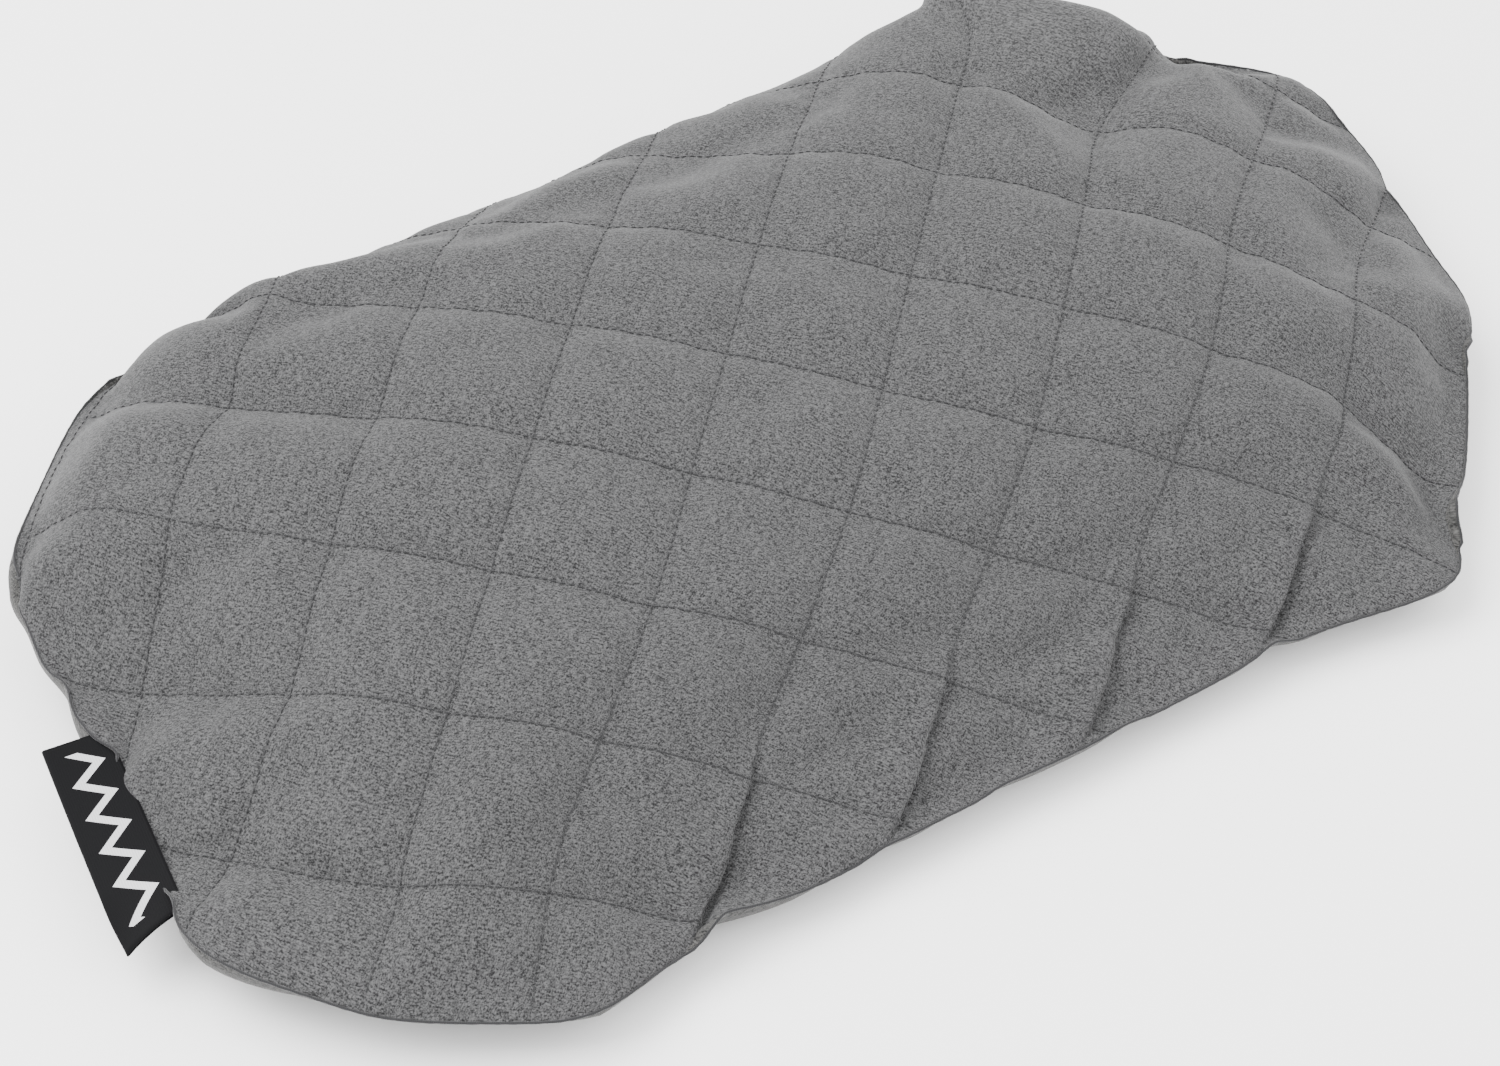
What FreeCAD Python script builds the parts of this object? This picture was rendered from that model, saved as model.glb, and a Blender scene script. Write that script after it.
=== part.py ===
"""Camp pillow: an inflatable core inside a quilted, zipped cover with an elongated octagonal plan.

Frame: the origin is the centre of the flat patch that the pillow rests on. +Z is up, +X runs along
the pillow (the sewn-in label is at the -X end) and the zip is in the rear long edge, at +Y.
Lengths are millimetres.
"""
import FreeCAD, Part
import os
import Sketcher
from FreeCAD import Placement, Rotation, Vector

# Driving dimensions: alias, value, what it is.
DIMENSIONS = [
    ("half_length", 282, "centre to the short seam"),
    ("half_width", 175, "centre to the long seam"),
    ("corner_leg", 105, "length of each 45 degree corner cut along either side"),
    ("seam_height", 45, "height of the seam that joins the upper and lower halves"),
    ("ground_height", 0, "height of the resting patch"),
    ("ground_inset", 42, "how far the resting patch lies inside the seam"),
    ("bilge_height", 15, "height where the underside turns up"),
    ("bilge_inset", 12, "inset there"),
    ("belt_low", 33, "lower edge of the upright belt"),
    ("belt_high", 57, "upper edge of the upright belt"),
    ("belt_inset", 0, "inset of the belt"),
    ("shoulder_height", 72, "height where the crown turns over"),
    ("shoulder_inset", 24, "inset there"),
    ("brow_height", 84, "height of the upper crown"),
    ("brow_inset", 60, "inset there"),
    ("crown_height", 90, "height of the crown"),
    ("crown_inset", 105, "inset of its flat middle"),
    ("face_skin", 0.9, "thickness of the brushed knit"),
    ("wadding_skin", 4.0, "thickness of the quilt wadding"),
    ("lining_skin", 0.5, "thickness of the quilt lining"),
    ("thread_rise", 0.35, "how far the quilting thread stands proud"),
    ("thread_width", 0.8, "width of a line of quilting thread"),
    ("quilt_half_diagonal", 41, "half the diagonal of a quilted square"),
    ("seam_band", 1.6, "thickness of the sewn seam between the halves"),
    ("seam_proud", 0.6, "how far the seam stands out of the belt"),
    ("label_reach", 24, "how far the label stands out of the seam"),
    ("label_width", 82, "length of the label along the seam"),
    ("label_centre", -1, "place of the label's middle along Y"),
    ("ribbon_skin", 0.5, "thickness of the label's ribbon"),
    ("ribbon_gap", 0.3, "gap between the ribbon's two layers"),
    ("zip_half_length", 160, "half the length of the zip"),
    ("zip_plane", 174, "distance of the zip's mid plane from the centre"),
    ("tape_skin", 0.6, "thickness of a zip tape"),
    ("chain_half", 3, "half the width of the closed chain"),
    ("chain_gap", 0.6, "distance from the zip's centre line to a row of teeth"),
    ("chain_depth", 2.4, "thickness of the chain"),
    ("stop_length", 2.0, "length of an end stop"),
    ("stop_proud", 0.3, "how far an end stop stands proud of the chain"),
    ("slider_rest", 150, "place of the slider's centre when the zip is closed"),
    ("slider_half_length", 6.5, "half the length of the slider"),
    ("slider_nose", 4.8, "half the width of the slider at its nose"),
    ("slider_tail", 3.9, "half the width of the slider at its tail"),
    ("slider_plate", 1.0, "thickness of the slider's two plates"),
    ("slider_clearance", 0.4, "gap between the chain and a slider plate"),
    ("fin_skin", 0.6, "thickness of the fin that joins the plates"),
    ("fin_half_length", 2.5, "half the length of that fin"),
    ("bridge_half_length", 3.5, "half the length of the slider's bridge"),
    ("bridge_width", 2.4, "width of the bridge"),
    ("bridge_skin", 0.8, "thickness of the bridge"),
    ("bridge_inner", 1.9, "clear height under the bridge"),
    ("pull_skin", 1.2, "thickness of the pull tab and its cross bar"),
    ("pull_lift", 0.3, "gap between the pull tab and the slider's front plate"),
    ("pull_width", 6.4, "width of the pull tab"),
    ("pull_arm", 1.4, "width of each arm beside the pull's window"),
    ("pull_window", 4.3, "distance from the cross bar's centre to the end of the window"),
    ("pull_length", 24, "distance from the cross bar's centre to the tip"),
    ("core_side", 12, "how far the inflatable core lies inside the belt"),
    ("core_top", 6.2, "how far the core lies below the crown"),
    ("core_bottom", 9, "height of the core's lowest face"),
    ("core_skin", 0.4, "thickness of the core's coated fabric"),
    ("weld_band", 0.8, "thickness of the core's welded rim"),
    ("weld_side", 6, "how far the rim's outer edge lies inside the belt"),
    ("valve_x", 170, "place of the valve along X"),
    ("valve_y", 45, "place of the valve along Y"),
    ("valve_top", 30, "height of the valve body's inner end"),
    ("barrel_radius", 9, "outer radius of the valve body"),
    ("barrel_bore", 6, "radius of the bore that the nozzle slides in"),
    ("flange_radius", 22, "radius of the flange that is welded to the core"),
    ("flange_skin", 1.2, "thickness of the flange"),
    ("valve_floor", 2, "thickness of the valve body's inner end"),
    ("pin_radius", 1.8, "radius of the fixed sealing pin"),
    ("pin_foot", 6, "height of the sealing pin's free end"),
    ("port_radius", 1.3, "radius of each air port"),
    ("port_circle", 3.9, "radius of the circle of air ports"),
    ("nozzle_radius", 5.6, "outer radius of the sliding nozzle"),
    ("nozzle_bore", 4, "inner radius of the nozzle"),
    ("nozzle_top", 22, "height of the nozzle's inner end when closed"),
    ("outlet_radius", 2.1, "radius of the nozzle's outlet"),
    ("lip_radius", 8, "radius of the nozzle's finger lip"),
    ("lip_foot", 5.5, "height of the lip's outer face when closed"),
    ("lip_skin", 1.9, "thickness of the lip"),
    ("ring_height", 18, "height of the seal ring's middle when closed"),
    ("ring_radius", 5.25, "radius of the seal ring's centre line"),
    ("ring_section", 0.65, "radius of the seal ring's section"),
    ("groove_half", 0.8, "half the width of the seal ring's groove"),
]
SECTIONS = [("ground", -1), ("bilge", -1), ("belt_low", -1), ("belt_high", 1), ("shoulder", 1),
            ("brow", 1), ("crown", 1)]
QUILT_LINES = 8
CORNER_SLIP = 2 - 2 ** 0.5      # a 45 degree corner's leg shortens by this times the inset
REACH = 400                     # half size of the cutting blocks, larger than the pillow

doc = FreeCAD.newDocument("camp_pillow")
sheet = doc.addObject("Spreadsheet::Sheet", "dims")
for row, (alias, value, note) in enumerate(DIMENSIONS, start=1):
    sheet.set(f"A{row}", note)
    sheet.set(f"B{row}", str(value))
    sheet.setAlias(f"B{row}", alias)
doc.recompute()

NODES = []


def size(alias):
    """The sheet's value of one driving dimension."""
    return float(sheet.get(alias))


def bind(thing, **formulas):
    """Bind an object's sizes to expressions; a double underscore stands for a dot."""
    for prop, formula in formulas.items():
        thing.setExpression(prop.replace("__", "."), formula)
    return thing


def node(thing, label):
    """Name a finished sub-part."""
    thing.Label = label
    NODES.append(thing)
    return thing


# ---- simple solids and booleans ------------------------------------------------------------------

def block(name, low, high):
    """A box between two corners, each given as three expressions."""
    box = doc.addObject("Part::Box", name)
    for axis, side, start, end in zip("xyz", ("Length", "Width", "Height"), low, high):
        box.setExpression(f"Placement.Base.{axis}", start)
        box.setExpression(side, f"({end}) - ({start})")
    return box


def post(name, radius, foot, top, x="0", y="0"):
    """An upright cylinder."""
    cylinder = doc.addObject("Part::Cylinder", name)
    return bind(cylinder, Radius=radius, Height=f"({top}) - ({foot})",
                Placement__Base__x=x, Placement__Base__y=y, Placement__Base__z=foot)


def cut(name, base, tool):
    result = doc.addObject("Part::Cut", name)
    result.Base = base
    result.Tool = tool
    return result


def common(name, *shapes):
    result = doc.addObject("Part::MultiCommon", name)
    result.Shapes = list(shapes)
    return result


def fuse(name, *shapes):
    result = doc.addObject("Part::MultiFuse", name)
    result.Shapes = list(shapes)
    return result


# ---- octagonal sections and forms ----------------------------------------------------------------

def draw_octagon(sketch, inset, inset_formula):
    """Add a fully constrained octagon, the pillow's outline moved inwards by the inset."""
    length = size("half_length") - inset
    width = size("half_width") - inset
    leg = size("corner_leg") - CORNER_SLIP * inset
    quarter = [(leg - length, width), (length - leg, width), (length, width - leg), (length, leg - width)]
    corners = [Vector(x, y, 0) for x, y in quarter]
    corners += [Vector(-x, -y, 0) for x, y in quarter]
    first = sketch.GeometryCount
    for index, corner in enumerate(corners):
        sketch.addGeometry(Part.LineSegment(corner, corners[(index + 1) % 8]), False)
    for index in range(8):
        sketch.addConstraint(Sketcher.Constraint("Coincident", first + index, 2, first + (index + 1) % 8, 1))
    for index in range(4):
        sketch.addConstraint(
            Sketcher.Constraint("Symmetric", first + index, 1, first + index + 4, 1, -1, 1))
    sketch.addConstraint(Sketcher.Constraint("Symmetric", first, 1, first, 2, -2))
    sketch.addConstraint(Sketcher.Constraint("Symmetric", first + 2, 1, first + 2, 2, -1))
    leg_formula = f"dims.corner_leg - {CORNER_SLIP:.9f} * ({inset_formula})"
    measures = [
        (("DistanceX", -1, 1, first + 2, 1, length), f"dims.half_length - ({inset_formula})"),
        (("DistanceY", -1, 1, first, 2, width), f"dims.half_width - ({inset_formula})"),
        (("DistanceX", first + 1, 1, first + 1, 2, leg), leg_formula),
        (("DistanceY", first + 1, 2, first + 1, 1, leg), leg_formula),
    ]
    for constraint, formula in measures:
        index = sketch.addConstraint(Sketcher.Constraint(*constraint))
        sketch.setExpression(f"Constraints[{index}]", formula)


def octagon_form(name, side, top, bottom):
    """The pillow's closed form, moved in from the outside by side, top and bottom (aliases' sums)."""
    sections = []
    for section, half in SECTIONS:
        height = section if section.startswith("belt") else f"{section}_height"
        inset = "belt_inset" if section.startswith("belt") else f"{section}_inset"
        sketch = doc.addObject("Sketcher::SketchObject", f"{name}_{section}")
        draw_octagon(sketch, size(inset), f"dims.{inset} + {side}")
        shift = f"- ({top})" if half > 0 else f"+ ({bottom})"
        sketch.setExpression("Placement.Base.z", f"dims.{height} {shift}")
        sections.append(sketch)
    loft = doc.addObject("Part::Loft", name)
    loft.Sections = sections
    loft.Solid = True
    loft.Ruled = True
    return loft


def octagon_ring(name, outer_inset, inner_inset, thickness):
    """A flat octagonal ring about the seam height."""
    body = doc.addObject("PartDesign::Body", name + "_body")
    sketch = body.newObject("Sketcher::SketchObject", name + "_outline")
    plane = next(item for item in body.Origin.OriginFeatures if item.Role == "XY_Plane")
    sketch.AttachmentSupport = [(plane, "")]
    sketch.MapMode = "FlatFace"
    for formula in (outer_inset, inner_inset):
        draw_octagon(sketch, 0, formula)
    pad = body.newObject("PartDesign::Pad", name + "_pad")
    pad.Profile = sketch
    pad.setExpression("Length", thickness)
    body.setExpression("Placement.Base.z", f"dims.seam_height - {thickness} / 2")
    return body


# ---- the cover -----------------------------------------------------------------------------------

WADDING_DEPTH = "(dims.face_skin + dims.wadding_skin)"
LINING_DEPTH = "(dims.face_skin + dims.wadding_skin + dims.lining_skin)"

outside = octagon_form("outside", "0", "0", "0")
under_face = octagon_form("under_face", *["dims.face_skin"] * 3)
under_wadding = octagon_form("under_wadding", *[WADDING_DEPTH] * 3)
under_lining = octagon_form("under_lining", *[LINING_DEPTH] * 3)
over_thread = octagon_form("over_thread", *["-dims.thread_rise"] * 3)

upper_space = block("upper_space",
                    (f"-{REACH}", f"-{REACH}", "dims.seam_height + dims.seam_band / 2"),
                    (f"{REACH}", f"{REACH}", f"{REACH}"))
lower_space = block("lower_space",
                    (f"-{REACH}", f"-{REACH}", f"-{REACH}"),
                    (f"{REACH}", f"{REACH}", "dims.seam_height - dims.seam_band / 2"))
zip_window = block("zip_window",
                   ("-dims.zip_half_length", f"dims.half_width - {LINING_DEPTH} - 0.1", "dims.belt_low"),
                   ("dims.zip_half_length", f"{REACH}", "dims.belt_high"))


def cover_layer(label, outer, inner, space):
    """One layer of the cover: the space between two forms, above or below the seam, less the zip."""
    wall = cut(f"{label}_wall", outer, inner)
    half = common(f"{label}_half", wall, space)
    return node(cut(label, half, zip_window), label)


def make_cover():
    cover_layer("cover_top_face", outside, under_face, upper_space)
    cover_layer("quilt_wadding", under_face, under_wadding, upper_space)
    cover_layer("quilt_lining", under_wadding, under_lining, upper_space)
    cover_layer("cover_bottom_panel", outside, under_face, lower_space)
    ring = octagon_ring("perimeter_seam", "-dims.seam_proud", LINING_DEPTH, "dims.seam_band")
    node(cut("perimeter_seam", ring, zip_window), "perimeter_seam")


def make_quilting_thread():
    """Two families of straight stitch lines at 45 degrees, lying on the crown."""
    slabs = []
    for family, turn in (("rising", 45), ("falling", -45)):
        for line in range(QUILT_LINES):
            slab = doc.addObject("Part::Box", f"{family}_slab_{line}")
            slab.Length = 2 * REACH
            slab.Height = REACH
            # A box turned about its corner is carried back so that its middle passes the line's place.
            place = f"{2 * line - QUILT_LINES + 1} * dims.quilt_half_diagonal"
            across = "dims.thread_width / 2"
            slab.Placement = Placement(Vector(), Rotation(Vector(0, 0, 1), turn))
            side = 1 if turn > 0 else -1
            bind(slab, Width="dims.thread_width",
                 Placement__Base__x=f"{place} - {REACH} * cos(45) + {side} * {across} * sin(45)",
                 Placement__Base__y=f"-{side} * {REACH} * sin(45) - {across} * cos(45)",
                 Placement__Base__z="dims.belt_high")
            slabs.append(slab)
    net = fuse("quilt_net", *slabs)
    layer = cut("thread_layer", over_thread, outside)
    node(common("quilting_thread", layer, net), "quilting_thread")


def make_side_label():
    """A ribbon folded in two, with its open ends in the short seam."""
    body = doc.addObject("PartDesign::Body", "side_label")
    sketch = body.newObject("Sketcher::SketchObject", "label_profile")
    plane = next(item for item in body.Origin.OriginFeatures if item.Role == "XZ_Plane")
    sketch.AttachmentSupport = [(plane, "")]
    sketch.MapMode = "FlatFace"
    reach = size("label_reach")
    inner = size("ribbon_gap") / 2
    outer = inner + size("ribbon_skin")
    fold = outer - reach
    axis = Vector(0, 0, 1)
    up, down = 1.5707963267948966, 4.71238898038469
    sketch.addGeometry(Part.LineSegment(Vector(0, outer, 0), Vector(fold, outer, 0)), False)
    sketch.addGeometry(Part.ArcOfCircle(Part.Circle(Vector(fold, 0, 0), axis, outer), up, down), False)
    sketch.addGeometry(Part.LineSegment(Vector(fold, -outer, 0), Vector(0, -outer, 0)), False)
    sketch.addGeometry(Part.LineSegment(Vector(0, -outer, 0), Vector(0, -inner, 0)), False)
    sketch.addGeometry(Part.LineSegment(Vector(0, -inner, 0), Vector(fold, -inner, 0)), False)
    sketch.addGeometry(Part.ArcOfCircle(Part.Circle(Vector(fold, 0, 0), axis, inner), up, down), False)
    sketch.addGeometry(Part.LineSegment(Vector(fold, inner, 0), Vector(0, inner, 0)), False)
    sketch.addGeometry(Part.LineSegment(Vector(0, inner, 0), Vector(0, outer, 0)), False)
    joins = [(0, 2, 1, 1), (1, 2, 2, 1), (2, 2, 3, 1), (3, 2, 4, 1), (4, 2, 5, 2), (5, 1, 6, 1),
             (6, 2, 7, 1), (7, 2, 0, 1)]
    for join in joins:
        sketch.addConstraint(Sketcher.Constraint("Coincident", *join))
    for line in (0, 2, 4, 6):
        sketch.addConstraint(Sketcher.Constraint("Horizontal", line))
    sketch.addConstraint(Sketcher.Constraint("Vertical", 3))
    sketch.addConstraint(Sketcher.Constraint("Vertical", 7))
    sketch.addConstraint(Sketcher.Constraint("PointOnObject", 7, 2, -2))
    sketch.addConstraint(Sketcher.Constraint("PointOnObject", 1, 3, -1))
    sketch.addConstraint(Sketcher.Constraint("Coincident", 1, 3, 5, 3))
    radius = sketch.addConstraint(Sketcher.Constraint("Radius", 1, outer))
    sketch.setExpression(f"Constraints[{radius}]", "dims.ribbon_gap / 2 + dims.ribbon_skin")
    radius = sketch.addConstraint(Sketcher.Constraint("Radius", 5, inner))
    sketch.setExpression(f"Constraints[{radius}]", "dims.ribbon_gap / 2")
    span = sketch.addConstraint(Sketcher.Constraint("DistanceX", 0, 2, 0, 1, -fold))
    sketch.setExpression(f"Constraints[{span}]", "dims.label_reach - dims.ribbon_gap / 2 - dims.ribbon_skin")
    pad = body.newObject("PartDesign::Pad", "label_pad")
    pad.Profile = sketch
    pad.Midplane = True
    pad.setExpression("Length", "dims.label_width")
    bind(body, Placement__Base__x="-dims.half_length - dims.seam_proud",
         Placement__Base__y="dims.label_centre", Placement__Base__z="dims.seam_height")
    node(body, "side_label")


# ---- the zip -------------------------------------------------------------------------------------

def make_zip_chain():
    """Two tapes and two rows of teeth, upright in the window of the rear belt, with their stops."""
    front = "dims.zip_plane + dims.{0} / 2"
    back = "dims.zip_plane - dims.{0} / 2"
    for half, sign, edge in (("upper", "+", "belt_high"), ("lower", "-", "belt_low")):
        inner = f"dims.seam_height {sign} dims.chain_gap"
        outer = f"dims.seam_height {sign} dims.chain_half"
        heights = {"teeth": (inner, outer), "tape": (outer, f"dims.{edge}")}
        for piece, thickness in (("teeth", "chain_depth"), ("tape", "tape_skin")):
            low, high = heights[piece] if sign == "+" else reversed(heights[piece])
            strip = block(f"{piece}_strip_{half}",
                          ("-dims.zip_half_length", back.format(thickness), low),
                          ("dims.zip_half_length", front.format(thickness), high))
            if piece == "teeth":
                strip = cut(f"{piece}_row_{half}", strip, stop_space)
            node(strip, f"zip_{piece}_{half}")


def end_block(name, low_x, high_x, low_z, high_z):
    """A stop that is clamped over the end of the chain."""
    return block(name,
                 (low_x, "dims.zip_plane - dims.chain_depth / 2 - dims.stop_proud", low_z),
                 (high_x, "dims.zip_plane + dims.chain_depth / 2 + dims.stop_proud", high_z))


def make_zip_stops():
    end = "dims.zip_half_length"
    low = "dims.seam_height - dims.chain_half"
    high = "dims.seam_height + dims.chain_half"
    node(end_block("bottom_stop", f"-{end}", f"-{end} + dims.stop_length", low, high), "zip_bottom_stop")
    upper = end_block("top_stop_upper", f"{end} - dims.stop_length", end,
                      "dims.seam_height + dims.chain_gap", high)
    lower = end_block("top_stop_lower", f"{end} - dims.stop_length", end,
                      low, "dims.seam_height - dims.chain_gap")
    node(fuse("top_stops", upper, lower), "zip_top_stops")


def make_stop_space():
    """The two ends of the chain that the stops take the place of."""
    ends = []
    for name, low, high in (("closed", "dims.zip_half_length - dims.stop_length", "dims.zip_half_length"),
                            ("open", "-dims.zip_half_length", "-dims.zip_half_length + dims.stop_length")):
        ends.append(block(f"{name}_end", (low, "0", "0"), (high, f"{REACH}", f"{REACH}")))
    return fuse("stop_space", *ends)


SLIDER_FACE = "(dims.zip_plane + dims.chain_depth / 2 + dims.slider_clearance + dims.slider_plate)"
PULL_AXIS = f"({SLIDER_FACE} + dims.pull_lift + dims.pull_skin / 2)"


def slider_plate(name, inner_face):
    """A slider plate, wide at the nose and narrow at the tail."""
    body = doc.addObject("PartDesign::Body", name)
    sketch = body.newObject("Sketcher::SketchObject", name + "_outline")
    plane = next(item for item in body.Origin.OriginFeatures if item.Role == "XZ_Plane")
    sketch.AttachmentSupport = [(plane, "")]
    sketch.MapMode = "FlatFace"
    half, nose, tail = size("slider_half_length"), size("slider_nose"), size("slider_tail")
    corners = [Vector(-half, -tail, 0), Vector(half, -nose, 0), Vector(half, nose, 0), Vector(-half, tail, 0)]
    for index, corner in enumerate(corners):
        sketch.addGeometry(Part.LineSegment(corner, corners[(index + 1) % 4]), False)
    for index in range(4):
        sketch.addConstraint(Sketcher.Constraint("Coincident", index, 2, (index + 1) % 4, 1))
    sketch.addConstraint(Sketcher.Constraint("Symmetric", 1, 1, 1, 2, -1))
    sketch.addConstraint(Sketcher.Constraint("Symmetric", 3, 1, 3, 2, -1))
    measures = [(("DistanceX", -1, 1, 1, 1, half), "dims.slider_half_length"),
                (("DistanceX", 3, 1, -1, 1, half), "dims.slider_half_length"),
                (("DistanceY", -1, 1, 1, 2, nose), "dims.slider_nose"),
                (("DistanceY", -1, 1, 3, 1, tail), "dims.slider_tail")]
    for constraint, formula in measures:
        index = sketch.addConstraint(Sketcher.Constraint(*constraint))
        sketch.setExpression(f"Constraints[{index}]", formula)
    pad = body.newObject("PartDesign::Pad", name + "_pad")
    pad.Profile = sketch
    pad.Reversed = True
    pad.setExpression("Length", "dims.slider_plate")
    return bind(body, Placement__Base__x="dims.slider_rest", Placement__Base__y=inner_face,
                Placement__Base__z="dims.seam_height")


def make_zip_slider():
    front_inner = "dims.zip_plane + dims.chain_depth / 2 + dims.slider_clearance"
    back_outer = "dims.zip_plane - dims.chain_depth / 2 - dims.slider_clearance - dims.slider_plate"
    front = slider_plate("slider_front", front_inner)
    back = slider_plate("slider_back", back_outer)
    fin = block("slider_fin",
                ("dims.slider_rest - dims.fin_half_length", back_outer,
                 "dims.seam_height - dims.fin_skin / 2"),
                ("dims.slider_rest + dims.fin_half_length", SLIDER_FACE,
                 "dims.seam_height + dims.fin_skin / 2"))
    low = "dims.seam_height - dims.bridge_width / 2"
    high = "dims.seam_height + dims.bridge_width / 2"
    arch = block("bridge_block",
                 ("dims.slider_rest - dims.bridge_half_length", front_inner, low),
                 ("dims.slider_rest + dims.bridge_half_length",
                  f"{SLIDER_FACE} + dims.bridge_inner + dims.bridge_skin", high))
    tunnel = block("bridge_tunnel",
                   ("dims.slider_rest - dims.bridge_half_length + dims.bridge_skin", SLIDER_FACE, low),
                   ("dims.slider_rest + dims.bridge_half_length - dims.bridge_skin",
                    f"{SLIDER_FACE} + dims.bridge_inner", high))
    bridge = cut("bridge", arch, tunnel)
    node(fuse("slider", front, back, fin, bridge), "zip_slider")


def make_zip_pull():
    """A tab with a window that the bridge passes through and a round cross bar under the bridge."""
    low = "dims.seam_height - dims.pull_width / 2"
    high = "dims.seam_height + dims.pull_width / 2"
    bar = doc.addObject("Part::Cylinder", "pull_bar")
    bind(bar, Radius="dims.pull_skin / 2", Height="dims.pull_width",
         Placement__Base__x="dims.slider_rest", Placement__Base__y=PULL_AXIS, Placement__Base__z=low)
    near = f"{PULL_AXIS} - dims.pull_skin / 2"
    far = f"{PULL_AXIS} + dims.pull_skin / 2"
    tip_centre = "dims.slider_rest - dims.pull_length + dims.pull_width / 2"
    plate = block("pull_plate", (tip_centre, near, low), ("dims.slider_rest", far, high))
    window = block("pull_opening",
                   ("dims.slider_rest - dims.pull_window", "0", f"{low} + dims.pull_arm"),
                   ("dims.slider_rest", f"{REACH}", f"{high} - dims.pull_arm"))
    tip = doc.addObject("Part::Cylinder", "pull_tip")
    tip.Placement = Placement(Vector(), Rotation(Vector(1, 0, 0), -90))
    bind(tip, Radius="dims.pull_width / 2", Height="dims.pull_skin", Placement__Base__x=tip_centre,
         Placement__Base__y=near, Placement__Base__z="dims.seam_height")
    frame = cut("pull_frame", plate, window)
    node(fuse("pull", bar, frame, tip), "zip_pull")


# ---- the inflatable core -------------------------------------------------------------------------

def make_core():
    outer = octagon_form("core_outside", "dims.core_side", "dims.core_top", "dims.core_bottom")
    skin = "dims.core_skin"
    inner = octagon_form("core_inside", f"(dims.core_side + {skin})", f"(dims.core_top + {skin})",
                         f"(dims.core_bottom + {skin})")
    wall = cut("core_wall", outer, inner)
    edge = "dims.weld_band / 2"
    above = block("core_above", (f"-{REACH}", f"-{REACH}", f"dims.seam_height + {edge}"),
                  (f"{REACH}", f"{REACH}", f"{REACH}"))
    below = block("core_below", (f"-{REACH}", f"-{REACH}", f"-{REACH}"),
                  (f"{REACH}", f"{REACH}", f"dims.seam_height - {edge}"))
    hole = post("valve_hole", "dims.barrel_radius", "0", "dims.seam_height", "dims.valve_x", "dims.valve_y")
    node(common("core_upper", wall, above), "bladder_top_sheet")
    node(cut("core_lower", common("core_lower_half", wall, below), hole), "bladder_bottom_sheet")
    rim = octagon_ring("rim_weld", "dims.weld_side", f"dims.core_side + {skin}", "dims.weld_band")
    node(rim, "bladder_rim_weld")


def revolved(name, profile):
    """A solid of revolution about the valve's axis from (radius, height) formulas."""
    body = doc.addObject("PartDesign::Body", name)
    sketch = body.newObject("Sketcher::SketchObject", name + "_profile")
    plane = next(item for item in body.Origin.OriginFeatures if item.Role == "XZ_Plane")
    sketch.AttachmentSupport = [(plane, "")]
    sketch.MapMode = "FlatFace"
    points = [Vector(evaluate(radius), evaluate(height), 0) for radius, height in profile]
    count = len(points)
    for index, point in enumerate(points):
        sketch.addGeometry(Part.LineSegment(point, points[(index + 1) % count]), False)
    for index in range(count):
        sketch.addConstraint(Sketcher.Constraint("Coincident", index, 2, (index + 1) % count, 1))
    for index, (radius, height) in enumerate(profile):
        if radius == "0":
            sketch.addConstraint(Sketcher.Constraint("PointOnObject", index, 1, -2))
        else:
            across = sketch.addConstraint(
                Sketcher.Constraint("DistanceX", -1, 1, index, 1, points[index].x))
            sketch.setExpression(f"Constraints[{across}]", radius)
        up = sketch.addConstraint(Sketcher.Constraint("DistanceY", -1, 1, index, 1, points[index].y))
        sketch.setExpression(f"Constraints[{up}]", height)
    turn = body.newObject("PartDesign::Revolution", name + "_turn")
    turn.Profile = sketch
    turn.ReferenceAxis = (sketch, ["V_Axis"])
    turn.Angle = 360
    return bind(body, Placement__Base__x="dims.valve_x", Placement__Base__y="dims.valve_y")


def evaluate(formula):
    """The value of a sum of sheet cells, such as dims.valve_top - dims.valve_floor."""
    total = 0.0
    sign = 1
    for word in formula.split():
        if word in "+-":
            sign = 1 if word == "+" else -1
        else:
            total += sign * (size(word[5:]) if word.startswith("dims.") else float(word))
    return total


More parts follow.
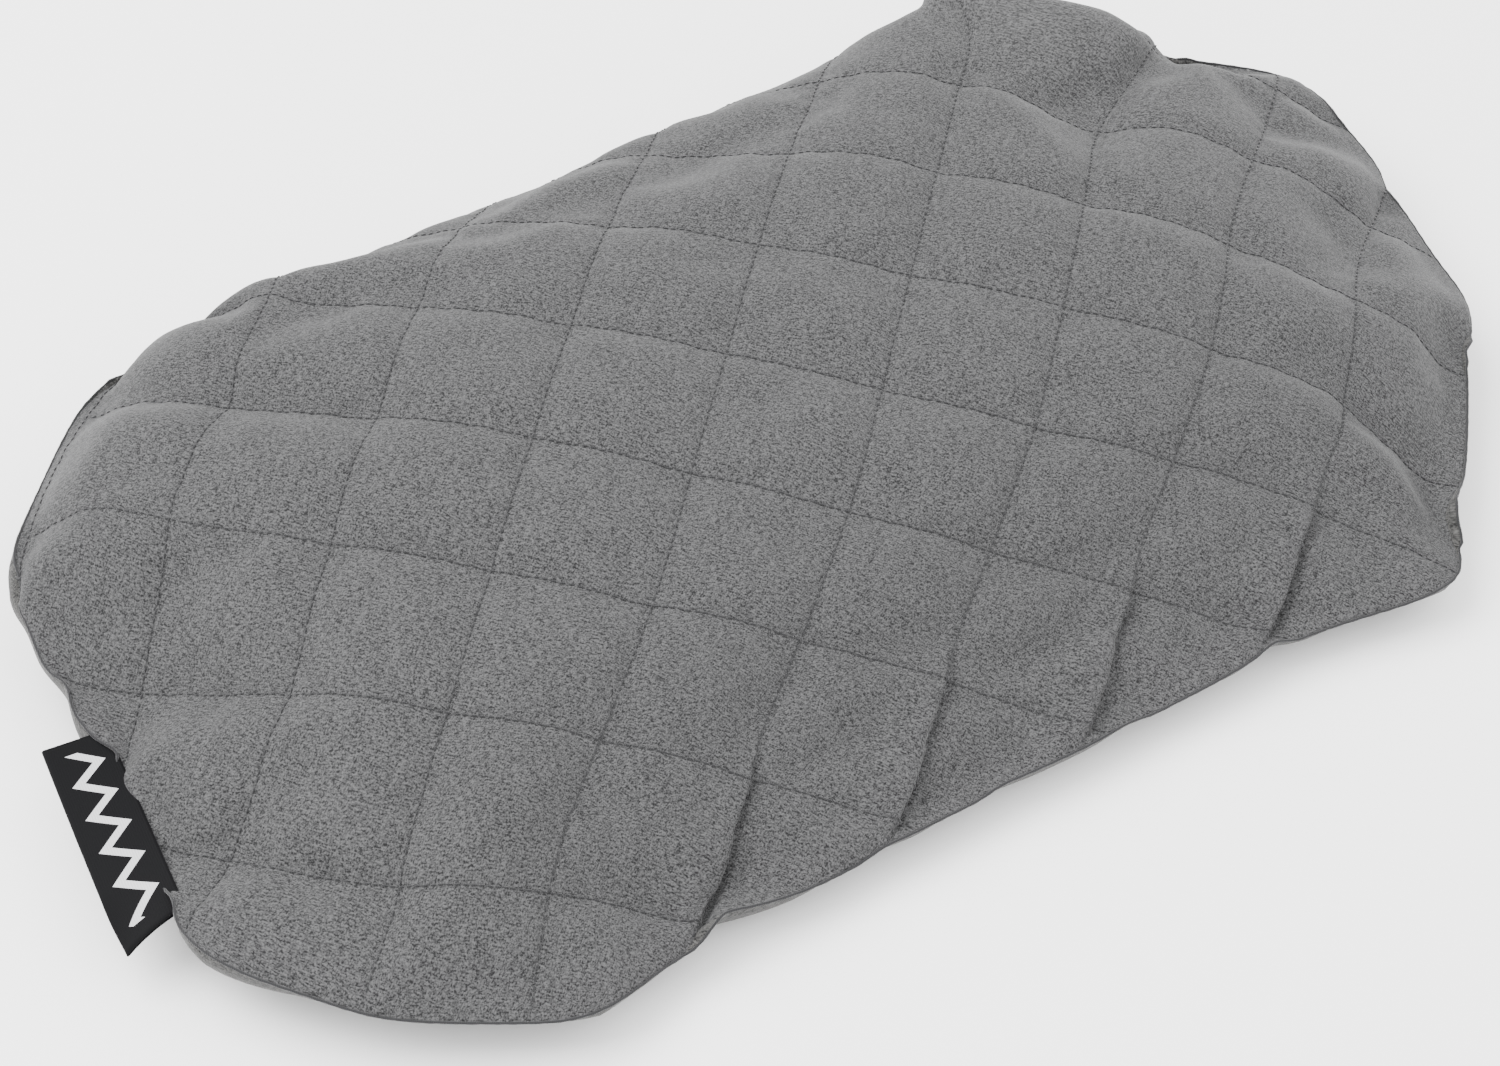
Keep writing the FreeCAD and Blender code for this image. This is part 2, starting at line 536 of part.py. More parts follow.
def make_valve():
    """A push-pull valve in the core's lower face: pulled 4 mm out, the nozzle clears the fixed pin."""
    flange_foot = "dims.core_bottom - dims.flange_skin"
    disc = post("flange_disc", "dims.flange_radius", flange_foot, "dims.core_bottom",
                "dims.valve_x", "dims.valve_y")
    opening = post("flange_opening", "dims.barrel_radius", "0", "dims.seam_height",
                   "dims.valve_x", "dims.valve_y")
    node(cut("flange", disc, opening), "valve_flange")
    floor = "dims.valve_top - dims.valve_floor"
    barrel = revolved("valve_barrel", [
        ("0", "dims.pin_foot"), ("dims.pin_radius", "dims.pin_foot"), ("dims.pin_radius", floor),
        ("dims.barrel_bore", floor), ("dims.barrel_bore", flange_foot),
        ("dims.barrel_radius", flange_foot), ("dims.barrel_radius", "dims.valve_top"),
        ("0", "dims.valve_top")])
    ports = []
    for number, (x_side, y_side) in enumerate(((1, 0), (0, 1), (-1, 0), (0, -1))):
        ports.append(post(f"port_{number}", "dims.port_radius", floor, "dims.valve_top",
                          f"dims.valve_x + {x_side} * dims.port_circle",
                          f"dims.valve_y + {y_side} * dims.port_circle"))
    node(cut("barrel", barrel, fuse("ports", *ports)), "valve_body")
    lip_top = "dims.lip_foot + dims.lip_skin"
    low = "dims.ring_height - dims.groove_half"
    high = "dims.ring_height + dims.groove_half"
    groove = "dims.ring_radius - dims.ring_section"
    node(revolved("nozzle", [
        ("dims.outlet_radius", "dims.lip_foot"), ("dims.lip_radius", "dims.lip_foot"),
        ("dims.lip_radius", lip_top), ("dims.nozzle_radius", lip_top),
        ("dims.nozzle_radius", low), (groove, low), (groove, high), ("dims.nozzle_radius", high),
        ("dims.nozzle_radius", "dims.nozzle_top"), ("dims.nozzle_bore", "dims.nozzle_top"),
        ("dims.nozzle_bore", lip_top), ("dims.outlet_radius", lip_top)]), "valve_nozzle")
    ring = doc.addObject("Part::Torus", "seal_ring")
    bind(ring, Radius1="dims.ring_radius", Radius2="dims.ring_section", Placement__Base__x="dims.valve_x",
         Placement__Base__y="dims.valve_y", Placement__Base__z="dims.ring_height")
    node(ring, "valve_o_ring")


def check_and_export():
    """Stop on any failed object, then write each sub-part."""
    for thing in doc.Objects:
        if {"Invalid", "Error"} & set(thing.State):
            raise RuntimeError(f"{thing.Name} failed: {thing.State}")
    os.makedirs("parts", exist_ok=True)
    for thing in NODES:
        shape = thing.Shape
        if shape.isNull() or not shape.isValid() or not shape.Solids:
            raise RuntimeError(f"{thing.Label} has no valid solid")
        box = shape.BoundBox
        print(f"{thing.Label:22s} solids {len(shape.Solids)} volume {shape.Volume:10.1f} "
              f"x {box.XMin:.1f}..{box.XMax:.1f} y {box.YMin:.1f}..{box.YMax:.1f} "
              f"z {box.ZMin:.1f}..{box.ZMax:.1f}")
        shape.exportStep(f"parts/{thing.Label}.step")


make_cover()
make_quilting_thread()
make_side_label()
stop_space = make_stop_space()
make_zip_chain()
make_zip_stops()
make_zip_slider()
make_zip_pull()
make_core()
make_valve()
doc.recompute()
check_and_export()
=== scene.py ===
"""Looks of the camp pillow: a quilted, zipped cover over an inflatable core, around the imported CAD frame.

Lengths are metres, in the frame of the CAD part: +Z up, the label at -X, the zip in the long edge at +Y.
The cover is sewn flat from two octagonal panels, pinned along its zip and inflated by a cloth
simulation. Everything that lies on it, such as the stitches, is placed on the resulting surface.
"""
import math

import bmesh
import bpy
import numpy as np
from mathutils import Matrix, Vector


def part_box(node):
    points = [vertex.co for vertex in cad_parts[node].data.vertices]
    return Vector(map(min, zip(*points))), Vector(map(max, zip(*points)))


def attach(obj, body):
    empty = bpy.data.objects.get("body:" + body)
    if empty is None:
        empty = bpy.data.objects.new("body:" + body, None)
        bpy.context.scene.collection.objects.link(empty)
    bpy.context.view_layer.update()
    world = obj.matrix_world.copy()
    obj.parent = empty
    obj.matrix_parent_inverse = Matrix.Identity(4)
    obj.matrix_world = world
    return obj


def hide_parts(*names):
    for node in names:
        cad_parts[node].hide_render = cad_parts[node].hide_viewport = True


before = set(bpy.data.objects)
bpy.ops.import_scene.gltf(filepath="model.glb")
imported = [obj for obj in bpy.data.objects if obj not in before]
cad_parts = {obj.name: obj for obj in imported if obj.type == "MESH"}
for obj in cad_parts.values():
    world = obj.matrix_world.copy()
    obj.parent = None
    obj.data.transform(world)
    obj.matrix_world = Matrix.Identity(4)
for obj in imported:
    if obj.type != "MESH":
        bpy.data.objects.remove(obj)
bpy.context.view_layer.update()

# ---- driving dimensions

# The flat pattern is measured in quilt units: a runs along +X and b towards the front (-Y). The
# stitch lines are where (a + b + QUILT_PHASE) / 2 or (b - a + QUILT_PHASE) / 2 is a whole number.
QUILT_UNIT = 0.041                    # half the diagonal of a quilted square
QUILT_PHASE = 7
A_LOW, A_HIGH = -6.6, 7.6
B_LOW, B_HIGH = -5.0, 4.2
CENTRE_A, CENTRE_B = 0.38, -0.4
CUT_BACK_LEFT = 2.4                   # legs of the corners cut off at 45 degrees
CUT_FRONT_LEFT = 2.4
CUT_FRONT_RIGHT = 2.8
CUT_BACK_RIGHT = 2.8
CORNER_ROUND = 0.05                   # radius of the sewn outline at its corners
CELLS = 5                             # cloth cells per quilt unit
FINE_LEVELS = 2                       # subdivisions between the cloth and the finished surface
SQUARE = QUILT_UNIT * math.sqrt(2)    # side of a quilted square

FLOOR_GAP = 0.0017                    # the cloth stops this far above its collision floor
KNIT_SKIN = 0.0009
WADDING_SKIN = 0.0038
LINING_SKIN = 0.0005
CORE_SKIN = 0.0004
PUFF = 0.0012                         # how far a quilted square stands above its stitch lines
PUFF_REACH = 0.0042
ROLL = 0.0035                         # how far the lower panel rolls out under the seam
STITCH_PITCH = 0.0031
WAIST = 0.022                         # how far the front edge is drawn in between its corners
TUCK = 0.35                           # how much lower the front seam lies than an evenly filled one
TUCK_HEIGHT = 0.035
ZIP_END_PUSH = 0.024                  # how far the seam is let out just past the zip's right end
FOLD_LIP = 0.0030                     # a front fold's height, the hollow beside it and its lap
FOLD_HOLLOW = 0.0024
FOLD_LAP = 0.0026
CORE_LENGTH, CORE_WIDTH = 0.93, 0.84  # the core's pattern as a share of the cover's
CORE_GAP_UPPER = 0.0015
CORE_GAP_LOWER = 0.0008
CORE_BEHIND_ZIP = 0.020
VALVE_CLEARANCE = 0.0105              # radius of the hole round the valve in the core's lower sheet
# Where the cover lies further out, in or up than an evenly filled one: centre, push and reach.
PUSHES = (
    ((0.212, 0.140), (0.032, 0.006, 0.014), 0.045),
    ((0.275, 0.050), (0.014, -0.007, 0.006), 0.045),
    ((0.265, -0.075), (-0.016, -0.002, 0.004), 0.050),
    ((0.195, -0.145), (-0.010, -0.005, 0.000), 0.040),
    ((-0.200, 0.155), (0.000, 0.010, 0.012), 0.040),
    ((-0.262, 0.080), (-0.004, 0.007, 0.004), 0.035),
    ((-0.275, -0.040), (-0.007, 0.004, 0.000), 0.030),
    ((-0.260, -0.095), (-0.008, -0.008, 0.000), 0.035),
)

SEAM_Z = sum(corner.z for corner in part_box("perimeter_seam")) / 2
ZIP_HALF, ZIP_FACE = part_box("zip_tape_upper")[1].xy  # half the tapes' length, and their outer face
ZIP_OPEN = 0.0063                     # from the seam line to each hem beside the zip
COVER_BACK = ZIP_FACE + KNIT_SKIN + 0.0001

CLOTH_SETTINGS = {
    "quality": 8, "mass": 0.2,
    "tension_stiffness": 200, "compression_stiffness": 200, "shear_stiffness": 80,
    "bending_stiffness": 0.3, "bending_stiffness_max": 20,
    "tension_damping": 20, "compression_damping": 20, "shear_damping": 20,
    "bending_damping": 0.5, "air_damping": 3,
    "vertex_group_mass": "pinned", "pin_stiffness": 1, "vertex_group_bending": "bending",
    "vertex_group_shrink": "gathered", "shrink_min": 0, "shrink_max": 0.02,
    "use_pressure": True, "uniform_pressure_force": 9,
}


# ---- small helpers

def ramp(value, zero_at, one_at):
    """Rises smoothly from 0 to 1 between two values, in either direction."""
    share = np.clip((value - zero_at) / (one_at - zero_at), 0, 1)
    return share * share * (3 - 2 * share)


def fades(value, centre, reach):
    """1 at the centre, falling as a bell curve."""
    return np.exp(-((value - centre) / reach) ** 2)


def unit(vectors):
    """Vectors scaled to length 1, along the last axis."""
    return vectors / np.maximum(np.linalg.norm(vectors, axis=-1, keepdims=True), 1e-12)


def new_object(name, data):
    """A new object in the scene."""
    made = bpy.data.objects.new(name, data)
    bpy.context.scene.collection.objects.link(made)
    return made


def mesh_object(name, points, faces):
    """A new smooth-shaded mesh object in the scene."""
    mesh = bpy.data.meshes.new(name)
    mesh.from_pydata(np.asarray(points, float).tolist(), [], [list(map(int, face)) for face in faces])
    mesh.update()
    mesh.polygons.foreach_set("use_smooth", [True] * len(mesh.polygons))
    return new_object(name, mesh)


def paint_uv(piece, across, along):
    """A UV map in metres from one pair of numbers per vertex."""
    layer = piece.data.uv_layers.new(name="fabric")
    corners = np.zeros(len(piece.data.loops), int)
    piece.data.loops.foreach_get("vertex_index", corners)
    pairs = np.stack([across[corners], along[corners]], 1)
    layer.data.foreach_set("uv", pairs.astype(np.float32).ravel())


def closed_skin(name, outer, inner, faces, a, b):
    """A sheet with a thickness: two copies of the faces, joined round every free edge."""
    used = np.unique(faces)
    count = len(used)
    renumber = np.full(len(outer), -1)
    renumber[used] = np.arange(count)
    front = renumber[faces]
    starts = front.ravel()
    ends = np.roll(front, -1, axis=1).ravel()
    free = ~np.isin(starts * count + ends, ends * count + starts)
    starts, ends = starts[free], ends[free]
    rim = np.stack([ends, starts, starts + count, ends + count], 1)
    quads = np.concatenate([front, front[:, ::-1] + count, rim])
    a, b = np.tile(a[used], 2), np.tile(b[used], 2)
    piece = mesh_object(name, np.concatenate([outer[used], inner[used]]), split_along_stitches(quads, a, b))
    paint_uv(piece, a * QUILT_UNIT, b * QUILT_UNIT)
    return piece


def split_along_stitches(quads, a, b):
    """Cut the pattern's square cells along the nearer family of stitch lines, to keep folds straight."""
    i, j = quilt_coordinates(a[quads], b[quads])
    square = (np.abs(i[:, 0] - i[:, 2]) < 1e-4) | (np.abs(j[:, 0] - j[:, 2]) < 1e-4)
    middle_i, middle_j = i.mean(1), j.mean(1)
    nearer_i = np.abs(middle_i - np.round(middle_i)) <= np.abs(middle_j - np.round(middle_j))
    same_i = np.abs(i[:, 0] - i[:, 2]) < 1e-4
    first = np.where(same_i == nearer_i, 0, 1)
    faces = quads[~square].tolist()
    for corner in (0, 1):
        chosen = quads[square & (first == corner)]
        faces += chosen[:, [corner, corner + 1, corner + 2]].tolist()
        faces += chosen[:, [corner + 2, (corner + 3) % 4, corner]].tolist()
    return faces


def circle(steps):
    """Cosine and sine of each step of a full turn."""
    turns = 2 * math.pi * np.arange(steps) / steps
    return np.stack([np.cos(turns), np.sin(turns)], 1)


def repeated(faces, corners, count):
    """The faces of so many copies of a shape that has so many corners."""
    return [[corner + copy * corners for corner in face] for copy in range(count) for face in faces]


def settle(piece):
    """Replace a piece's mesh by what its modifiers make of it."""
    graph = bpy.context.evaluated_depsgraph_get()
    mesh = bpy.data.meshes.new_from_object(piece.evaluated_get(graph), depsgraph=graph)
    old = piece.data
    piece.modifiers.clear()
    piece.data = mesh
    mesh.name = piece.name
    bpy.data.meshes.remove(old)


def place(piece, body, slot, material, *nodes):
    """Give a finished piece its body and material, and hide the CAD nodes that it stands for. The slot is
    not used.
    """
    piece.data.materials.clear()
    piece.data.materials.append(material)
    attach(piece, body)
    if nodes:
        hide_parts(*nodes)


# ---- the flat pattern

def edge_distance(a, b):
    """Distance in metres from the pattern's nearest edge, on the flat."""
    diagonal = math.sqrt(0.5)
    edges = [
        A_HIGH - a, a - A_LOW, B_HIGH - b, b - B_LOW,
        (a + b - A_LOW - B_LOW - CUT_BACK_LEFT) * diagonal,
        (a - b - A_LOW + B_HIGH - CUT_FRONT_LEFT) * diagonal,
        (A_HIGH + B_HIGH - CUT_FRONT_RIGHT - a - b) * diagonal,
        (A_HIGH - B_LOW - CUT_BACK_RIGHT - a + b) * diagonal,
    ]
    return np.min(edges, axis=0) * QUILT_UNIT


def pattern_corners():
    """The octagon's corners in quilt units, in order."""
    return np.array([
        (A_LOW + CUT_BACK_LEFT, B_LOW), (A_LOW, B_LOW + CUT_BACK_LEFT),
        (A_LOW, B_HIGH - CUT_FRONT_LEFT), (A_LOW + CUT_FRONT_LEFT, B_HIGH),
        (A_HIGH - CUT_FRONT_RIGHT, B_HIGH), (A_HIGH, B_HIGH - CUT_FRONT_RIGHT),
        (A_HIGH, B_LOW + CUT_BACK_RIGHT), (A_HIGH - CUT_BACK_RIGHT, B_LOW),
    ])


def round_corner(point):
    """Move a point of the outline onto the arc at the nearest corner, if it is beside one."""
    corners = pattern_corners()
    radius = CORNER_ROUND / QUILT_UNIT
    half_turn = math.radians(22.5)
    gaps = np.linalg.norm(corners - point, axis=1)
    nearest = int(gaps.argmin())
    if gaps[nearest] >= math.tan(half_turn) * radius:
        return point
    corner = corners[nearest]
    before = unit(corners[nearest - 1] - corner)
    after = unit(corners[(nearest + 1) % 8] - corner)
    centre = corner + unit(before + after) * radius / math.cos(half_turn)
    return centre + unit(point - centre) * radius


def pattern_grid():
    """Both panels as one grid: (a, b) and side of each vertex, and the faces. Seam vertices are shared."""
    columns = round((A_HIGH - A_LOW) * CELLS)
    rows = round((B_HIGH - B_LOW) * CELLS)
    spots, sides, index = [], [], {}
    for side in (0, 1):
        for row in range(rows + 1):
            for column in range(columns + 1):
                a = A_LOW + column / CELLS
                b = B_LOW + row / CELLS
                inside = edge_distance(a, b)
                if inside < -1e-6:
                    continue
                if side and inside < 1e-6:
                    index[1, column, row] = index[0, column, row]
                    continue
                index[side, column, row] = len(spots)
                spots.append((a, b))
                sides.append(side)
    faces = []
    for side in (0, 1):
        for row in range(rows):
            for column in range(columns):
                ring = [(column, row), (column + 1, row), (column + 1, row + 1), (column, row + 1)]
                face = [index[(side, *spot)] for spot in ring if (side, *spot) in index]
                if len(face) >= 3:
                    faces.append(face if side else face[::-1])
    return np.array(spots), np.array(sides), faces


# ---- the cloth simulation

def sewn_panels(spots, sides, faces):
    """The two flat panels as one cloth, with its vertex groups and a shape key that holds the zip."""
    a, b = spots.T
    inside = edge_distance(a, b)
    outline = inside < 1e-6
    flat = spots.copy()
    flat[outline] = [round_corner(point) for point in spots[outline]]
    # The panels start a little apart, so that the pressure has a volume to fill.
    outwards = np.where(sides == 0, 1, -1)
    apart = np.minimum(inside / 0.03, 1) * 0.004 * outwards
    start = np.stack([(flat[:, 0] - CENTRE_A) * QUILT_UNIT, (CENTRE_B - flat[:, 1]) * QUILT_UNIT,
                      SEAM_Z + apart], 1)
    # The edge beside the zip stands upright against the tapes, gathered a little onto them.
    beside_zip = (np.abs(start[:, 0]) < ZIP_HALF + 0.008) & (b < 0) & (inside < 0.0085)
    held = start.copy()
    held[beside_zip, 0] *= 0.985
    held[beside_zip, 1] = COVER_BACK
    held[beside_zip, 2] = SEAM_Z + outwards[beside_zip] * inside[beside_zip]

    cloth = mesh_object("cloth", start, faces)
    cloth.shape_key_add(name="Basis")
    key = cloth.shape_key_add(name="held")
    key.data.foreach_set("co", held.astype(np.float32).ravel())
    for value, moment in ((0, 1), (1, 15)):
        key.value = value
        key.keyframe_insert("value", frame=moment)

    groups = {
        "pinned": beside_zip,
        "bending": ~on_stitch_line(a, b, 0.01) | (sides == 1) | outline,
        "gathered": on_stitch_line(a, b, 0.01) & (sides == 0) & ~outline,
    }
    for name, chosen in groups.items():
        group = cloth.vertex_groups.new(name=name)
        group.add(np.nonzero(chosen)[0].tolist(), 1.0, "REPLACE")
    return cloth


def square_floor(name, half, z):
    """A level square of twice that half width."""
    return mesh_object(name, [(-half, -half, z), (half, -half, z), (half, half, z), (-half, half, z)],
                       [(0, 1, 2, 3)])


def inflate_cover():
    """Sew the cover and blow it up on a floor. Returns the cloth's points and the pattern's grid."""
    spots, sides, faces = pattern_grid()
    cloth = sewn_panels(spots, sides, faces)
    floor = square_floor("cloth_floor", 1, -FLOOR_GAP)
    floor.modifiers.new("collision", "COLLISION")
    floor.collision.thickness_outer = 0.001
    floor.collision.cloth_friction = 5

    modifier = cloth.modifiers.new("cloth", "CLOTH")
    for setting, value in CLOTH_SETTINGS.items():
        setattr(modifier.settings, setting, value)
    modifier.settings.effector_weights.gravity = 0.14
    modifier.collision_settings.use_self_collision = False
    modifier.collision_settings.distance_min = 0.001

    scene = bpy.context.scene
    last = 60
    scene.frame_start, scene.frame_end = 1, last
    modifier.point_cache.frame_start = 1
    modifier.point_cache.frame_end = last
    for moment in range(1, last + 1):
        scene.frame_set(moment)
    graph = bpy.context.evaluated_depsgraph_get()
    points = np.zeros(len(spots) * 3)
    cloth.evaluated_get(graph).data.vertices.foreach_get("co", points)
    points = points.reshape(-1, 3)
    action = cloth.data.shape_keys.animation_data.action
    for thing in (cloth, floor):
        mesh = thing.data
        bpy.data.objects.remove(thing)
        bpy.data.meshes.remove(mesh)
    bpy.data.actions.remove(action)
    scene.frame_set(1)
    points[:, 2] -= min(points[:, 2].min(), 0)
    return points, spots, faces, sides


def quilt_coordinates(a, b):
    """The two lattice coordinates, whole numbers on the stitch lines."""
    return (a + b + QUILT_PHASE) / 2, (b - a + QUILT_PHASE) / 2


def on_stitch_line(a, b, slack):
    i, j = quilt_coordinates(a, b)
    return np.minimum(np.abs(i - np.round(i)), np.abs(j - np.round(j))) < slack


def arrange(points, spots, sides):
    """Set the inflated cover down the way it lies: its front drawn in and low, its corners spread."""
    x, y, z = points.T.copy()
    points[:, 1] += WAIST * ramp(x, -0.24, -0.15) * ramp(x, 0.23, 0.11) * ramp(y, -0.03, -0.16)
    points[:, 2] *= 1 - TUCK * fades(z, 0, TUCK_HEIGHT) * ramp(y, 0.12, -0.04)
    clear_of_zip = ramp(np.abs(x), 0.166, 0.206)
    crown = ramp(edge_distance(*spots.T), 0, 0.035) * (sides == 0)
    for (centre_x, centre_y), (push_x, push_y, lift), reach in PUSHES:
        near = np.exp(-((x - centre_x) ** 2 + (y - centre_y) ** 2) / (2 * reach ** 2))
        points[:, 0] += push_x * near * clear_of_zip
        points[:, 1] += push_y * near * clear_of_zip
        points[:, 2] += lift * near * crown
    # Past the right end of the zip the seam turns in gently.
    points[:, 1] += ZIP_END_PUSH * ramp(x, 0.168, 0.172) * fades(x, 0.174, 0.020) * ramp(y, 0.105, 0.145)
    # The label stiffens the short seam that it is sewn to, so this seam stays straight.
    sewn = (np.abs(spots[:, 0] - A_LOW) < 1e-4) & (np.abs(y) < 0.085)
    bow = np.polyfit(y[sewn], x[sewn], 4)
    chord = np.polyfit(y[sewn], x[sewn], 1)
    pull = np.polyval(chord, y) - np.polyval(bow, y)
    points[:, 0] += pull * ramp(x, -0.20, -0.26) * ramp(np.abs(y), 0.11, 0.065)


# ---- the finished surface

class Surface:
    """The inflated cover as arrays: points, outward normals, pattern coordinates and faces."""

    def __init__(self, points, spots, faces, sides, levels):
        blank = mesh_object("surface", points, faces)
        mesh = blank.data
        for name, values in zip("ab", spots.T):
            layer = mesh.attributes.new(name, "FLOAT", "POINT")
            layer.data.foreach_set("value", values.astype(np.float32))
        mesh.polygons.foreach_set("material_index", [int(sides[face].max()) for face in faces])
        for _ in range(2):
            mesh.materials.append(None)
        ends = np.zeros(len(mesh.edges) * 2, int)
        mesh.edges.foreach_get("vertices", ends)
        rim = (edge_distance(*spots.T) < 1e-6)[ends.reshape(-1, 2)].all(1)
        crease = mesh.attributes.new("crease_edge", "FLOAT", "EDGE")
        crease.data.foreach_set("value", rim.astype(np.float32))
        finer = blank.modifiers.new("finer", "SUBSURF")
        finer.levels = finer.render_levels = levels
        settle(blank)
        self.read(blank.data)
        bpy.data.objects.remove(blank)

    def read(self, mesh):
        """Take over the mesh's points and faces, and work out the rest."""
        count = len(mesh.vertices)
        self.points = np.zeros(count * 3)
        mesh.vertices.foreach_get("co", self.points)
        self.points = self.points.reshape(-1, 3)
        self.a, self.b = np.zeros(count), np.zeros(count)
        mesh.attributes["a"].data.foreach_get("value", self.a)
        mesh.attributes["b"].data.foreach_get("value", self.b)
        self.faces = np.array([tuple(face.vertices) for face in mesh.polygons])
        self.lower = np.zeros(len(self.faces), int)
        mesh.polygons.foreach_get("material_index", self.lower)
        self.inside = np.maximum(edge_distance(self.a, self.b), 0)
        self.is_top = np.zeros(count, bool)
        self.is_top[self.faces[self.lower == 0].ravel()] = True
        self.measure()

    def measure(self):
        """Outward normals, averaged over the faces round each vertex."""
        corners = self.points[self.faces]
        across = np.cross(corners[:, 2] - corners[:, 0], corners[:, 3] - corners[:, 1])
        total = np.zeros_like(self.points)
        for corner in range(4):
            np.add.at(total, self.faces[:, corner], across)
        self.normals = unit(total)

    def layer(self, name, lower, depth, skin, keep=True):
        """A closed skin under one panel, from a depth below its surface, with its pattern as UV map."""
        faces = self.faces[(self.lower == lower) & keep]
        outer = self.points - self.normals * np.reshape(depth, (-1, 1))
        inner = outer - self.normals * np.reshape(skin, (-1, 1))
        return closed_skin(name, outer, inner, faces, self.a, self.b)


def add_relief(surface):
    """Raise the quilted squares, fold the front edge, and let the panels roll in to the seam."""
    i, j = quilt_coordinates(surface.a, surface.b)
    from_i = np.abs(i - np.round(i)) * SQUARE
    from_j = np.abs(j - np.round(j)) * SQUARE
    square = (1 - np.exp(-from_i / PUFF_REACH)) * (1 - np.exp(-from_j / PUFF_REACH))
    rise = PUFF * square * ramp(surface.inside, 0, 0.016)
    # Small gathers run across each stitch line, unevenly spaced.
    gather = 0.00028 * (
        np.sin(j * SQUARE / 0.0017 + 2.1 * np.sin(i * 2.7)) * np.exp(-from_i / 0.006)
        + np.sin(i * SQUARE / 0.0019 + 1.7 * np.sin(j * 3.1)) * np.exp(-from_j / 0.006))
    # The filling is never quite even.
    swell = 0.00045 * (
        np.sin(surface.a * 2.3 + 1.1 * np.sin(surface.b * 1.9)) * np.sin(surface.b * 2.9 + surface.a * 0.7)
        + 0.6 * np.sin(surface.a * 4.7 - surface.b * 3.3 + 0.8 * np.sin(surface.a * 1.3)))
    top = np.where(surface.is_top, 1.0, 0.0)
    offset = top * (rise + (gather + swell) * ramp(surface.inside, 0, 0.012))
    fold, slide = front_folds(surface, i)
    offset += top * fold
    # The seam is drawn in, and both panels roll over it.
    offset += 0.0011 * (1 - fades(surface.inside, 0, 0.0028)) - 0.0006
    offset += (1 - top) * ROLL * np.sin(np.pi * np.clip(surface.inside / 0.028, 0, 1))
    at_zip = (np.abs(surface.points[:, 0]) < ZIP_HALF + 0.012) & (surface.b < 0)
    offset *= np.where(at_zip, ramp(surface.inside, ZIP_OPEN, ZIP_OPEN + 0.01), 1)
    surface.points += surface.normals * offset[:, None]
    surface.points += np.array([math.sqrt(0.5), -math.sqrt(0.5), 0]) * (top * slide)[:, None]
    # The underside's lowest part lies flat on the floor.
    rests = ~surface.is_top & (surface.points[:, 2] < 0.004)
    surface.points[rests, 2] = np.maximum(surface.points[rests, 2] - 0.0008, 0)
    surface.points[:, 2] = np.maximum(surface.points[:, 2], 0)
    tack_down_zip_ends(surface)
    surface.measure()


def tack_down_zip_ends(surface):
    """Hold the seam flat just past both ends of the zip, where the pull tab can lie on it."""
    x, y, z = surface.points.T
    weight = ramp(np.abs(x), 0.196, 0.184) * ramp(np.abs(z - SEAM_Z), 0.018, 0.010)
    weight *= (np.abs(x) > ZIP_HALF - 0.010) & (y > 0)
    surface.points[:, 1] -= weight * np.maximum(y - COVER_BACK, 0)


def front_folds(surface, i):
    """Where the stitch lines run into the front seam, the left square laps over the right one."""
    line = np.round(i)
    beside = (i - line) * SQUARE
    chosen = (line >= 4) & (line <= 7)
    reach = ramp(surface.b, 2.5, 3.4) * ramp(surface.inside, 0, 0.010) * chosen
    lip = np.where(beside < 0, ramp(beside, -0.020, -0.002), np.exp(-beside / 0.0012))
    hollow = np.where(beside > 0, np.exp(-beside / 0.010), 0)
    puckers = np.sin(beside / 0.0013 + 2 * line) * np.exp(-np.abs(beside - 0.009) / 0.008)
    gathered = ramp(surface.b, 3.2, 3.7) * ramp(surface.inside, 0, 0.004) * chosen
    fold = reach * (FOLD_LIP * lip - FOLD_HOLLOW * hollow) + 0.0007 * gathered * puckers
    return fold, reach * FOLD_LAP * lip


class QuiltMap:
    """Looks up points of one panel by their pattern coordinates."""

    def __init__(self, surface, lower=0):
        self.step = CELLS * 2 ** FINE_LEVELS
        on_panel = np.zeros(len(surface.points), bool)
        on_panel[surface.faces[surface.lower == lower]] = True
        shape = (round((A_HIGH - A_LOW) * self.step) + 2, round((B_HIGH - B_LOW) * self.step) + 2)
        self.points = np.full((*shape, 3), np.nan)
        self.normals = np.full((*shape, 3), np.nan)
        column = (surface.a - A_LOW) * self.step
        row = (surface.b - B_LOW) * self.step
        on_grid = (np.abs(column - np.round(column)) < 0.02) & (np.abs(row - np.round(row)) < 0.02)
        chosen = on_panel & on_grid
        spot = np.round(column[chosen]).astype(int), np.round(row[chosen]).astype(int)
        self.points[spot] = surface.points[chosen]
        self.normals[spot] = surface.normals[chosen]

    def at(self, a, b):
        """Points and normals, NaN outside the panel."""
        column = (a - A_LOW) * self.step
        row = (b - B_LOW) * self.step
        left, low = np.floor(column).astype(int), np.floor(row).astype(int)
        columns, rows = self.points.shape[:2]
        fit = (left >= 0) & (low >= 0) & (left < columns - 1) & (low < rows - 1)
        left, low = np.where(fit, left, 0), np.where(fit, low, 0)
        s, t = (column - left)[:, None], (row - low)[:, None]
        found = []
        for grid in (self.points, self.normals):
            value = ((1 - s) * (1 - t) * grid[left, low] + s * (1 - t) * grid[left + 1, low]
                     + (1 - s) * t * grid[left, low + 1] + s * t * grid[left + 1, low + 1])
            value[~fit] = np.nan
            found.append(value)
        return found[0], unit(found[1])


# ---- sewn pieces on the cover

def on_line(line, family, along):
    """Pattern coordinates of places along one stitch line of a family."""
    across = np.full_like(along, line)
    i, j = (across, along) if family else (along, across)
    return i - j, i + j - QUILT_PHASE


